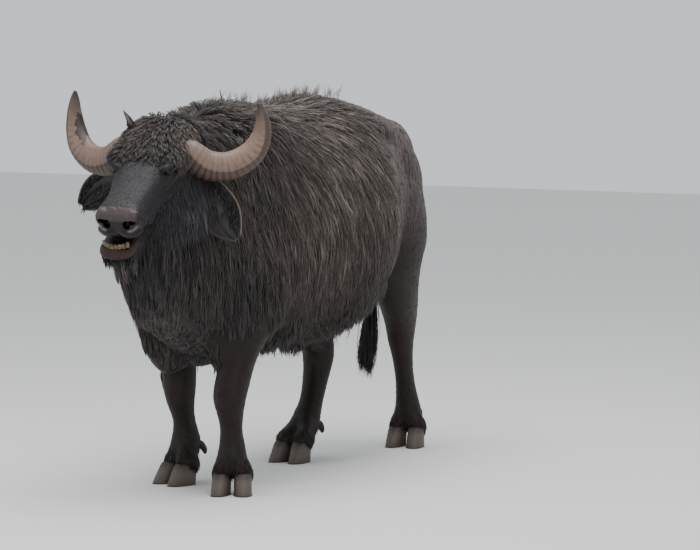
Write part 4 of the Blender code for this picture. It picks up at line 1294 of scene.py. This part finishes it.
# %% Leg hair
def leg_field(points, normals, rng):
    """Short hair that lies down the leg."""
    z = points[:, 2]
    lie = columns(0, 0.25 * ramp(z, 0.6, 1.2), -1)
    lie = unit(lie + rng.normal(0, 0.10, lie.shape))
    coronet = ramp(z, 0.16, 0.10)
    length = (0.018 + 0.026 * coronet) * rng.uniform(0.65, 1.2, len(z))
    depth, width = 0.0011 + 0.0032 * coronet, 0.0014 + 0.0010 * coronet
    return Field(lie, length, depth, 0.5 * coronet, width, 0.0003, -0.1 + 0.6 * ramp(z, 0.5, 1.2))


shaggy_foot = 1 + 5.0 * ramp(SKIN_AT[:, 2], 0.17, 0.10)
tuft_mesh("leg_hair", comb(8000, ZONES["leg"] * shaggy_foot, leg_field, 0.014, 3, rng, 0.1), round_legs)

# %% [markdown]
# ## Hanging hair
#
# Some hair stands or hangs free: the tail's switch, the fringes of the ears, the wisps under chin and belly,
# the tuft on the poll, the spiky hairs along the back and the one lock on the right foreleg. None of it lies
# on the skin, so combing would not do. Each is a sheaf of tufts along a short curve of its own, spread where
# it is thick and drawn together at its tip.


# %% Sheaves
def sheaf(line, count, spread, width, rng, curl=0.004, bleach=0.1, sections=5, start=0.25, shorten=0.35):
    """Tufts along one curve: spread is the sheaf's half width at its root, its middle and its tip."""
    line = np.array([tuple(p) for p in line], float)
    knots = np.linspace(0, 1, len(line))
    begin = rng.uniform(0, start, (count, 1))
    t = begin + np.linspace(0, 1, sections + 1)[None, :] * (rng.uniform(1 - shorten, 1, (count, 1)) - begin)
    path = np.stack([np.interp(t, knots, line[:, i]) for i in range(3)], axis=2)
    reach = np.interp(t, (0, 0.5, 1), spread)[..., None]
    way = unit(rng.normal(0, 1, (count, 1, 3))) * rng.uniform(0.2, 1, (count, 1, 1))
    path = path + way * reach
    phase = rng.uniform(0, 6.28, (count, 1, 1))
    wave = curl * np.sin(phase + 9 * t[..., None]) * (t - begin)[..., None]
    path += wave * rng.normal(0, 1, (count, 1, 3))
    out = np.broadcast_to(unit(way), path.shape)
    sizes = width * rng.uniform(0.7, 1.3, count)
    return path, out, sizes, rng.random(count), np.full(count, bleach), path[:, 0]


def together(parts):
    """Several sheaves as one set of tufts."""
    return [np.concatenate(values) for values in zip(*parts)]


def flat_map(points):
    """Free hair has no skin of its own, so its roots are laid out by height and side."""
    return np.stack((points[:, 0] + points[:, 1], points[:, 2]), axis=1)


# %% Tail switch
SWITCH = (
    (-0.046, 1.036, 0.610),
    (-0.052, 1.028, 0.520),
    (-0.056, 1.022, 0.420),
    (-0.058, 1.018, 0.320),
    (-0.057, 1.015, 0.252),
)
FORK = ((-0.050, 1.032, 0.560), (-0.066, 1.018, 0.440), (-0.078, 1.006, 0.340), (-0.080, 1.002, 0.270))
rng = np.random.default_rng(23)
switch = [
    sheaf(SWITCH, 800, (0.014, 0.040, 0.012), 0.0034, rng, curl=0.018, bleach=0.0, start=0.60, shorten=0.45),
    sheaf(FORK, 300, (0.010, 0.020, 0.005), 0.0034, rng, curl=0.018, bleach=0.0, start=0.40, shorten=0.45),
]
tuft_mesh("tail_switch_hair", together(switch), flat_map)

# %% Wisps of chin, poll and foreleg
# Each wisp of the chin: its root's place across and along the jaw, and its length
BEARD = (
    (-0.050, -0.470, 0.10),
    (-0.020, -0.478, 0.08),
    (-0.034, -0.430, 0.12),
    (-0.010, -0.400, 0.11),
    (-0.030, -0.370, 0.13),
)
POLL_TUFT = ((0, 0, 0), (-0.010, 0.0, 0.030), (-0.038, 0.002, 0.066))
KNEE_LOCK = ((0.03, 0.0, 0.035), (-0.018, 0, 0.0), (-0.010, 0, -0.05), (0.012, 0.0, -0.105))


def from_point(point, steps):
    """A curve given by its steps from one point."""
    return [point + Vector(step) for step in steps]


wisps = []
for x, y, length in BEARD:
    root = HEAD @ Vector((x, y, -0.236))
    tip = root + Vector((0.006, 0.020, -length))
    line = (root + Vector((0, 0, 0.012)), root.lerp(tip, 0.5) + Vector((0.004, -0.006, 0)), tip)
    wisps.append(sheaf(line, 70, (0.016, 0.012, 0.002), 0.0030, rng))
line = from_point(HEAD @ Vector((-0.084, -0.078, 0.020)), POLL_TUFT)
wisps.append(sheaf(line, 130, (0.020, 0.010, 0.001), 0.0036, rng, curl=0.001, bleach=0.15))
line = from_point(Vector((-0.205, -0.285, 0.395)), KNEE_LOCK)
wisps.append(sheaf(line, 90, (0.010, 0.009, 0.005), 0.0028, rng, curl=0.006))
print("wisps of chin, poll and foreleg", len(wisps))

# %% Loose hairs of back and belly
BACK_HAIRS = 110
BELLY_WISPS = 46
for k in range(BACK_HAIRS):
    y = rng.uniform(-0.25, 0.58)
    hit, out, index, distance = SKIN.ray_cast(Vector((rng.normal(0, 0.03), y, 1.6)), DOWN)
    way = (rng.normal(0, 0.015), 0.024 + rng.normal(0, 0.018), rng.uniform(0.040, 0.074))
    tip = hit + Vector(way)
    line = (hit, hit.lerp(tip, 0.5) + Vector((0, -0.004, 0)), tip)
    wisps.append(sheaf(line, 5, (0.008, 0.007, 0.003), 0.0013, rng, curl=0.008, bleach=0.5))
for k in range(BELLY_WISPS):
    below = Vector((rng.uniform(-0.02, 0.16), rng.uniform(-0.10, 0.46), 0.2))
    hit, out, index, distance = SKIN.ray_cast(below, -DOWN)
    tip = hit + Vector((rng.normal(0, 0.015), rng.normal(0, 0.02), -rng.uniform(0.06, 0.10)))
    bend = hit.lerp(tip, 0.5) + Vector((0, rng.normal(0, 0.012), 0))
    wisps.append(sheaf((hit, bend, tip), 6, (0.012, 0.008, 0.002), 0.0022, rng, curl=0.012, bleach=0.0))
tuft_mesh("wisps", together(wisps), flat_map)

# %% Ear fringes
# The rows of the fringe: the turn where each stands, and its hairs at each place
FRINGE_ROWS = ((-0.97, 4), (0.97, 4), (-0.45, 3), (0.4, 3))
fringe = []
for side in SIDES.values():
    for share in np.linspace(0.10, 0.97, 44):
        for turn, count in FRINGE_ROWS:
            root = ear_point(side, share + rng.uniform(-0.01, 0.01), turn)
            # On the rim the hair bends in over the ear, elsewhere it lies towards the ear's tip
            if abs(turn) > 0.9:
                way = ear_point(side, share, turn * 0.6) - root
            else:
                way = root - ear_point(side, share - 0.05, turn)
            tip = root + way.normalized() * rng.uniform(0.008, 0.020)
            tip += Vector((0, -0.012, -0.022)) * rng.uniform(0.5, 1.3)
            line = (root, root.lerp(tip, 0.5) + Vector((0, -0.004, 0.003)), tip)
            fringe.append(sheaf(line, count, (0.003, 0.003, 0.001), 0.0020, rng, 0.002, 0.35, 3))
    for k in range(60):
        share, turn = rng.uniform(0.30, 0.86), rng.uniform(-0.1, 0.75)
        root = ear_point(side, share, turn)
        tip = root + Vector((rng.normal(0, 0.004), -0.016, -rng.uniform(0.024, 0.042)))
        line = (root, root.lerp(tip, 0.5) + Vector((0, -0.006, 0.004)), tip)
        fringe.append(sheaf(line, 3, (0.004, 0.004, 0.002), 0.0016, rng, 0.002, 0.7, 3))
tuft_mesh("ear_fringe", together(fringe), flat_map)
print("coat triangles in all", sum(len(obj.data.polygons) for obj in tuft_pieces.values()))

# %% [markdown]
# ## Hair
#
# Hair is keratin, dark with melanin, which bleaches to brown in the sun. It could have one flat colour, but
# then a coat looks like felt. So each tuft has its own tone, and fine streaks run along it as single hairs
# would. The streaks follow the tuft's own coordinates, because a pattern in space would cut across the locks.

# %% Hair material
# Across a tuft, along it and by its tone: a few streaks side by side, and no two tufts alike
STREAK_SCALE = (7.0, 1.6, 60.0)


def hair_material(name, dark, middle, pale, roughness, sheen):
    """Keratin fibres in three colours, from the shaded root, a painted shade, to the tip that the sun has
    bleached, which is partly a painted highlight.
    """
    # Half matt with a soft highlight, as waxy hair is. The sheen gives a dusty coat's grey bloom at its edge.
    constants = {
        "Roughness": roughness,
        "Specular IOR Level": 0.38,
        "Sheen Weight": sheen,
        "Sheen Roughness": 0.45,
        "Sheen Tint": linear("#AEB2BA"),
    }
    made, tree, shader = new_material(name, constants)
    strand = add(tree, "Attribute", out="Vector", attribute_name="strand")
    bleach = add(tree, "Attribute", out="Fac", attribute_name="bleach")
    stretched = add(tree, "Mapping", {"Vector": strand, "Scale": STREAK_SCALE})
    streaks = add(tree, "TexNoise", {"Vector": stretched, "Scale": 1.0, "Detail": 3.0})
    parts = add(tree, "SeparateXYZ", {"Vector": strand}).node.outputs
    toned = add(tree, "Math", {0: parts["Z"], 1: streaks, 2: 0.10}, operation="MULTIPLY_ADD")
    tipped = add(tree, "Math", {0: parts["Y"], 1: 0.22, 2: toned}, operation="MULTIPLY_ADD")
    # The pale colour rises with tone, share along the tuft and the bleach value: sun-bleached tips and partly
    # painted highlights of glossy hair
    bleached_and_lit = add(tree, "Math", {0: bleach, 1: 0.40, 2: tipped}, operation="MULTIPLY_ADD")
    low = add(tree, "MapRange", {"Value": bleached_and_lit, "From Min": 0.25, "From Max": 0.80})
    high = add(tree, "MapRange", {"Value": bleached_and_lit, "From Min": 0.74, "From Max": 1.15})
    body = add(tree, "Mix", {0: low, 6: linear(dark), 7: linear(middle)}, 2, data_type="RGBA")
    colour = add(tree, "Mix", {0: high, 6: body, 7: linear(pale)}, 2, data_type="RGBA")
    bump = add(tree, "Bump", {"Height": streaks, "Strength": 0.5, "Distance": 0.001})
    tree.links.new(colour, shader.inputs["Base Color"])
    tree.links.new(bump, shader.inputs["Normal"])
    return made


LONG_HAIR = hair_material("sun_bleached_buffalo_hair", "#181413", "#59504B", "#A3958B", 0.46, 0.18)
FACE_HAIR = hair_material("grey_black_face_hair", "#161516", "#37363A", "#807E84", 0.48, 0.12)
BODY_HAIR = hair_material("short_brown_body_hair", "#150F0D", "#2A201D", "#3C302B", 0.45, 0.04)
SWITCH_HAIR = hair_material("black_switch_hair", "#0F0D0D", "#2A2322", "#4A3A32", 0.45, 0.06)
OTHER_HAIR = {
    "cheek_hair": FACE_HAIR,
    "face_hair": FACE_HAIR,
    "ear_fringe": FACE_HAIR,
    "leg_hair": BODY_HAIR,
    "tail_switch_hair": SWITCH_HAIR,
}
for name, obj in tuft_pieces.items():
    obj.data.materials.append(OTHER_HAIR.get(name, LONG_HAIR))
print("hair materials on", len(tuft_pieces), "pieces")

# %% [markdown]
# ## Hide
#
# Buffalo hide is thick and grey-black. On thighs and legs short hair lies over it, drawn as bump and colour
# stretched down the leg. The muzzle is bare, pored and wet, paler on top, and the lips are brown. A painted
# picture could hold all this, but it would have to be made by hand, while these patterns follow the borders
# that are already marked on the skin.

# %% Pattern of hide and short hair
# Soft and nearly matt, since short hair breaks up the light. The sheen is its dust.
constants = {
    "Specular IOR Level": 0.22,
    "Sheen Weight": 0.03,
    "Sheen Roughness": 0.4,
    "Sheen Tint": linear("#A69C98"),
}
made, tree, shader = new_material("buffalo_hide", constants)
painted = [label for label in ZONES if label not in ("leg", "chin")]
zone = {label: add(tree, "Attribute", out="Fac", attribute_name=label) for label in painted}
place = add(tree, "TexCoord", out="Object")
# A scale counts a pattern's steps in a metre. Down the leg the hairs are 2.3 mm wide and 14 mm long, where
# real ones are far finer, since they would not show
lengthways = add(tree, "Mapping", {"Vector": place, "Scale": (430.0, 430.0, 70.0)})
leg_hairs = add(tree, "TexNoise", {"Vector": lengthways, "Scale": 1.0, "Detail": 3.0})
# On the face they are tilted with the head, so that they run to the muzzle, and are 3.3 mm deep
tilted = add(tree, "Mapping", {"Vector": place, "Rotation": (-HEAD_PITCH, 0, 0)})
facewards = add(tree, "Mapping", {"Vector": tilted, "Scale": (430.0, 70.0, 300.0)})
face_hairs = add(tree, "TexNoise", {"Vector": facewards, "Scale": 1.0, "Detail": 3.0})
hairs = add(tree, "Mix", {0: zone["head"], 2: leg_hairs, 3: face_hairs}, data_type="FLOAT")
lit = add(tree, "MapRange", {"Value": hairs, "From Min": 0.35, "From Max": 0.75})
# Worn patches of some 140 mm, folds of 26 mm, and streaks 9 mm wide and 60 mm long
patches = add(tree, "TexNoise", {"Vector": place, "Scale": 7.0, "Detail": 4.0})
worn = add(tree, "MapRange", {"Value": patches, "From Min": 0.42, "From Max": 0.72})
folds = add(tree, "TexNoise", {"Vector": place, "Scale": 38.0, "Detail": 3.0})
streaked = add(tree, "Mapping", {"Vector": place, "Scale": (110.0, 110.0, 16.0)})
streaks = add(tree, "TexNoise", {"Vector": streaked, "Scale": 1.0, "Detail": 4.0})
streak_at = add(tree, "MapRange", {"Value": streaks, "From Min": 0.34, "From Max": 0.58})

# %% Colours of the hide
# Brown on rump and legs: dark between the lit hairs, a painted shade, and paler grey on what faces up, partly
# # sun-greyed hair and partly painted light from the sky
brown = add(tree, "Mix", {0: worn, 6: linear("#231813"), 7: linear("#30221C")}, 2, data_type="RGBA")
brown = add(tree, "Mix", {0: lit, 6: linear("#130D0B"), 7: brown}, 2, data_type="RGBA")
brown = add(tree, "Mix", {0: zone["sun_and_sky_light"], 6: brown, 7: linear("#645956")}, 2, data_type="RGBA")
brown = add(tree, "Mix", {0: streak_at, 6: linear("#1A120F"), 7: brown}, 2, data_type="RGBA")
# Grey-black on the head: palest on the bridge of the nose, a painted light where the face turns up to the
# sky,
# # browner under the crown's hair, and dark between the lit hairs as painted shade
grey = add(tree, "Mix", {0: lit, 6: linear("#161516"), 7: linear("#232224")}, 2, data_type="RGBA")
under_crown = add(tree, "Math", {0: zone["crown"], 1: 0.7}, operation="MULTIPLY")
for share, code in ((zone["bridge"], "#2A282A"), (zone["cheek"], "#1B1A1C"), (under_crown, "#1E1816")):
    grey = add(tree, "Mix", {0: share, 6: grey, 7: linear(code)}, 2, data_type="RGBA")
colour = add(tree, "Mix", {0: zone["head"], 6: brown, 7: grey}, 2, data_type="RGBA")
# The skin under the long coat, then the bare skin of nose and lips, and last a painted shade, near black,
# # inside the mouth and nostrils, laid over in this order
SKIN_COLOURS = {
    "long": "#261F1C",
    "muzzle": "#1D1717",
    "nose_top": "#463B3C",
    "nose_rim": "#6A6264",
    "lip": "#35251F",
    "mouth": "#0C0909",
}
for label, code in SKIN_COLOURS.items():
    colour = add(tree, "Mix", {0: zone[label], 6: colour, 7: linear(code)}, 2, data_type="RGBA")
tree.links.new(colour, shader.inputs["Base Color"])

# %% Wetness and relief of the hide
# The muzzle is wet, so its roughness is half the hair's. Its pores are 2.4 mm apart, drawn coarse to show
wet = add(tree, "MapRange", {"Value": zone["muzzle"], "To Min": 0.52, "To Max": 0.26})
tree.links.new(wet, shader.inputs["Roughness"])
pores = add(tree, "TexVoronoi", {"Vector": place, "Scale": 420.0})
pored = add(tree, "Math", {0: zone["muzzle"], 1: 0.5}, operation="MULTIPLY")
bump = add(tree, "Bump", {"Height": hairs, "Strength": 0.5, "Distance": 0.0015})
bump = add(tree, "Bump", {"Height": folds, "Strength": 0.10, "Distance": 0.002, "Normal": bump})
bump = add(tree, "Bump", {"Height": pores, "Strength": pored, "Distance": 0.0008, "Normal": bump})
tree.links.new(bump, shader.inputs["Normal"])
hide.data.materials.clear()
hide.data.materials.append(made)
print("hide nodes", len(tree.nodes))

# %% [markdown]
# ## Horn and hoof
#
# Both are keratin grown in rings. The horn's upper face is worn pale, its underside keeps a brown crust in
# the grooves, and the tip is dark. The hooves are dull grey-brown with soil in their lowest part. The horn's
# colours go by the share along it and the turn round it, which its mesh already carries, so that the crust
# sits in the very grooves that are modelled.

# %% Marks on the horns
for horn, side in zip(horns, SIDES.values()):
    along, round_it = np.empty((2, len(horn.data.vertices)))
    horn.data.attributes["share"].data.foreach_get("value", along)
    horn.data.attributes["turn"].data.foreach_get("value", round_it)
    # Only the right horn has a dark ragged patch where the outer layer has come off
    flake = (side == RIGHT) * ramp(along, 0.36, 0.60) * ramp(along, 0.88, 0.64) * ramp(round_it, -0.2, 0.9)
    mark_points(horn.data, "flake", flake)
    mark_points(horn.data, "dent", dented(along, keel_turn(along) - round_it))

# %% Horn material
# Dry keratin, rubbed but not polished: half matt, with a broad dull highlight
made, tree, shader = new_material("ringed_horn_keratin", {"Roughness": 0.48})
share = add(tree, "Attribute", out="Fac", attribute_name="share")
turn = add(tree, "Attribute", out="Fac", attribute_name="turn")
dent = add(tree, "Attribute", out="Fac", attribute_name="dent")
flake = add(tree, "Attribute", out="Fac", attribute_name="flake")
place = add(tree, "TexCoord", out="Object")
# How far a point is above the keel, the border between the worn upper face and the crusted lower one
slope = add(tree, "Math", {0: share, 1: KEEL_FALL, 2: KEEL_ROOT}, operation="MULTIPLY_ADD")
keel = add(tree, "Math", {0: slope, 1: KEEL_LOW}, operation="MAXIMUM")
above = add(tree, "Math", {0: turn, 1: keel}, operation="SUBTRACT")
# Grain of 17 mm in the worn face
grain = add(tree, "TexNoise", {"Vector": place, "Scale": 60.0, "Detail": 4.0})
colour = add(tree, "Mix", {0: grain, 6: linear("#624F43"), 7: linear("#806859")}, 2, data_type="RGBA")
under = add(tree, "MapRange", {"Value": above, "From Min": 0.02, "From Max": -0.07})
colour = add(tree, "Mix", {0: under, 6: colour, 7: linear("#4A3529")}, 2, data_type="RGBA")
# Crust in the grooves, deepest on the lower face and gone towards the tip
rings_at = add(tree, "Math", {0: share, 1: 2 * math.pi * HORN_LENGTH / RIDGE_PITCH}, operation="MULTIPLY")
rings_wave = add(tree, "Math", {0: rings_at}, operation="SINE")
groove = add(tree, "MapRange", {"Value": rings_wave, "From Min": 0.3, "From Max": -0.9})
worn = add(tree, "MapRange", {"Value": share, "From Min": 0.70, "From Max": 0.25})
crust = add(tree, "Math", {0: groove, 1: worn}, operation="MULTIPLY")
lower = {"From Min": 0.10, "From Max": -0.06, "To Min": 0.20, "To Max": 0.85}
deep = add(tree, "MapRange", {"Value": above, **lower})
crusted = add(tree, "Math", {0: crust, 1: deep}, operation="MULTIPLY")
colour = add(tree, "Mix", {0: crusted, 6: colour, 7: linear("#20150F")}, 2, data_type="RGBA")
tip = add(tree, "MapRange", {"Value": share, "From Min": 0.66, "From Max": 0.97})
colour = add(tree, "Mix", {0: tip, 6: colour, 7: linear("#362E2B")}, 2, data_type="RGBA")
# Flecks of 38 mm, and a darker brown in the dents of the upper face, a painted shade in their hollows
flecks = add(tree, "TexNoise", {"Vector": place, "Scale": 26.0, "Detail": 5.0})
fleck_at = add(tree, "MapRange", {"Value": flecks, "From Min": 0.60, "From Max": 0.70})
flecked = add(tree, "Math", {0: fleck_at, 1: 0.45}, operation="MULTIPLY")
colour = add(tree, "Mix", {0: flecked, 6: colour, 7: linear("#5A4A42")}, 2, data_type="RGBA")
darkened = add(tree, "Math", {0: dent, 1: 0.75}, operation="MULTIPLY")
colour = add(tree, "Mix", {0: darkened, 6: colour, 7: linear("#4A3122")}, 2, data_type="RGBA")
# Crumbs of 18 mm make the border of the bare patch ragged
crumbs = add(tree, "TexNoise", {"Vector": place, "Scale": 55.0, "Detail": 5.0, "Roughness": 0.65})
ragged = add(tree, "Math", {0: crumbs, 1: 2.2, 2: flake}, operation="MULTIPLY_ADD")
patch = add(tree, "MapRange", {"Value": ragged, "From Min": 1.62, "From Max": 1.72})
colour = add(tree, "Mix", {0: patch, 6: colour, 7: linear("#2A1F1A")}, 2, data_type="RGBA")
bump = add(tree, "Bump", {"Height": grain, "Strength": 0.35, "Distance": 0.0015})
tree.links.new(colour, shader.inputs["Base Color"])
tree.links.new(bump, shader.inputs["Normal"])
for horn in horns:
    horn.data.materials.append(made)

# %% Hoof material
# Hoof wall is drier than horn and scratched by the ground, so it is duller
made, tree, shader = new_material("dull_hoof_keratin", {"Roughness": 0.6})
place = add(tree, "TexCoord", out="Object")
height = add(tree, "SeparateXYZ", {"Vector": place}, "Z")
# Upright fibres 3.3 mm wide and 40 mm long, dark where the hoof meets the hair
upright = add(tree, "Mapping", {"Vector": place, "Scale": (300.0, 300.0, 25.0)})
fibres = add(tree, "TexNoise", {"Vector": upright, "Scale": 1.0, "Detail": 3.0})
colour = add(tree, "Mix", {0: fibres, 6: linear("#3B332F"), 7: linear("#5E534B")}, 2, data_type="RGBA")
top = add(tree, "MapRange", {"Value": height, "From Min": 0.048, "From Max": 0.078})
colour = add(tree, "Mix", {0: top, 6: colour, 7: linear("#1D1714")}, 2, data_type="RGBA")
# Soil in clods of 22 mm, up to 30 mm from the ground
soil = add(tree, "TexNoise", {"Vector": place, "Scale": 45.0, "Detail": 4.0})
low = add(tree, "MapRange", {"Value": height, "From Min": 0.030, "From Max": 0.0})
soiled = add(tree, "Math", {0: low, 1: soil}, operation="MULTIPLY")
colour = add(tree, "Mix", {0: soiled, 6: colour, 7: linear("#2C221B")}, 2, data_type="RGBA")
# Growth rings 12 mm apart
grow = add(tree, "Math", {0: height, 1: 520.0}, operation="MULTIPLY")
growth = add(tree, "Math", {0: grow}, operation="SINE")
bump = add(tree, "Bump", {"Height": growth, "Strength": 0.25, "Distance": 0.0006})
bump = add(tree, "Bump", {"Height": fibres, "Strength": 0.3, "Distance": 0.0006, "Normal": bump})
tree.links.new(colour, shader.inputs["Base Color"])
tree.links.new(bump, shader.inputs["Normal"])
for claw in claws.values():
    claw.data.materials.append(made)
print("horns", len(horns), "and hooves", len(claws), "have their keratin")

# %% [markdown]
# ## Ear skin
#
# The ear is a thin fold of dark skin with fine hair on it, paler along the rim, which is a painted highlight.
# A low sun behind a real ear would shine through it. Here most light falls from above and in front, so the
# skin is opaque.

# %% Ear material
# Soft skin under down: half matt, with a little sheen from the down
made, tree, shader = new_material("thin_haired_ear_skin", {"Roughness": 0.5, "Sheen Weight": 0.10})
share = add(tree, "Attribute", out="Fac", attribute_name="share")
turn = add(tree, "Attribute", out="Fac", attribute_name="turn")
place = add(tree, "TexCoord", out="Object")
# Down in tufts of 3.8 mm, coarser than real down, which would not show
down = add(tree, "TexNoise", {"Vector": place, "Scale": 260.0, "Detail": 3.0})
colour = add(tree, "Mix", {0: down, 6: linear("#171314"), 7: linear("#352D2C")}, 2, data_type="RGBA")
# A painted highlight along one rim, fading in towards the tip
edge = add(tree, "MapRange", {"Value": turn, "From Min": 0.88, "From Max": 1.0})
outer = add(tree, "MapRange", {"Value": share, "From Min": 0.25, "From Max": 0.60})
rim = add(tree, "Math", {0: edge, 1: outer}, operation="MULTIPLY")
colour = add(tree, "Mix", {0: rim, 6: colour, 7: linear("#5A4D47")}, 2, data_type="RGBA")
bump = add(tree, "Bump", {"Height": down, "Strength": 0.5, "Distance": 0.001})
tree.links.new(colour, shader.inputs["Base Color"])
tree.links.new(bump, shader.inputs["Normal"])
for ear in ears:
    ear.data.materials.append(made)
print("ears", len(ears))

# %% [markdown]
# ## Eye and enamel
#
# A buffalo's eye is wet and nearly black: a dark brown iris round the pupil, and little white to be seen. Its
# zones go by the angle from the gaze, which needs no picture. The tooth enamel is yellow, with brown stain
# from the plants that it grinds.

# %% Eye material
# The eye's mark is 0 where it looks and 1 at this angle from there, in radians
GAZE = Vector((1, -0.45, 0.02))
MARK_ANGLE = 0.9
# Wet all over, so it is the glossiest piece and gives the eye its point of light
made, tree, shader = new_material("wet_brown_eye", {"Roughness": 0.12, "Specular IOR Level": 0.25})
iris_at = add(tree, "Attribute", out="Fac", attribute_name="iris")
pupil_edge = add(tree, "MapRange", {"Value": iris_at, "From Min": 0.30, "From Max": 0.36})
white_edge = add(tree, "MapRange", {"Value": iris_at, "From Min": 0.74, "From Max": 0.82})
# Fibres of the iris, 2.5 mm apart where real ones are finer, since they would not show
fibres = add(tree, "TexNoise", {"Vector": add(tree, "TexCoord", out="Object"), "Scale": 400.0})
colour = add(tree, "Mix", {0: fibres, 6: linear("#0E0805"), 7: linear("#1A0F09")}, 2, data_type="RGBA")
colour = add(tree, "Mix", {0: pupil_edge, 6: linear("#050404"), 7: colour}, 2, data_type="RGBA")
colour = add(tree, "Mix", {0: white_edge, 6: colour, 7: linear("#0F0A09")}, 2, data_type="RGBA")
tree.links.new(colour, shader.inputs["Base Color"])
for eye, side in zip(eyes, SIDES.values()):
    centre = HEAD @ on_side(EYE_CENTRE, side)
    gaze = (HEAD.to_3x3() @ on_side(GAZE, side)).normalized()
    cosines = [(vert.co - centre).normalized().dot(gaze) for vert in eye.data.vertices]
    mark_points(eye.data, "iris", [math.acos(max(-1, min(1, cosine))) / MARK_ANGLE for cosine in cosines])
    eye.data.materials.append(made)

# %% Enamel
# Enamel is glossy when clean, but a film of stain leaves it half matt
made, tree, shader = new_material("yellowed_enamel", {"Roughness": 0.42})
# Stains of 8 mm
stain = add(tree, "TexNoise", {"Vector": add(tree, "TexCoord", out="Object"), "Scale": 120.0, "Detail": 3.0})
darkened = add(tree, "MapRange", {"Value": stain, "From Min": 0.40, "From Max": 0.65})
colour = add(tree, "Mix", {0: darkened, 6: linear("#7C6648"), 7: linear("#3F2C1B")}, 2, data_type="RGBA")
tree.links.new(colour, shader.inputs["Base Color"])
teeth.data.materials.append(made)
print("materials in all", len(bpy.data.materials))

# %% [markdown]
# ## Setting the pieces on the frame
#
# The still model has one body, so every piece rides on it. Each piece stands for the solids whose place it
# takes: one skin for head, neck, trunk, legs and tail dock, and one piece each for the hard parts. The rest
# of the hair has no solid of its own and is laid over them.

# %% Ride and replace
LEGS = [f"{which}_leg_{side}" for which in ("fore", "hind") for side in SIDES]
FLESH = ("head", "neck", "torso", "hindquarters", "tail_dock", *LEGS)
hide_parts(*FLESH)
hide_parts("tail_switch")
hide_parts("teeth")
for label, horn, ear, eye in zip(SIDES, horns, ears, eyes):
    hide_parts(f"horn_{label}")
    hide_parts(f"ear_{label}")
    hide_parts(f"eye_{label}")
for name, claw in claws.items():
    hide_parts(name)
slots = {
    "short_hair": [hide, tuft_pieces["leg_hair"]],
    "teeth": [teeth],
    "eye": eyes,
    "horn": horns,
    "claw_horn": list(claws.values()),
}
HEAD_HAIR = ("crown_hair", "cheek_hair", "face_hair", "ear_fringe")
slots["face_hide"] = ears + [tuft_pieces[name] for name in HEAD_HAIR]
taken = {obj for group in slots.values() for obj in group}
slots["shaggy_coat"] = [obj for obj in tuft_pieces.values() if obj not in taken]
for name, group in slots.items():
    for piece in group:
        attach(piece, "root")
bpy.context.view_layer.update()
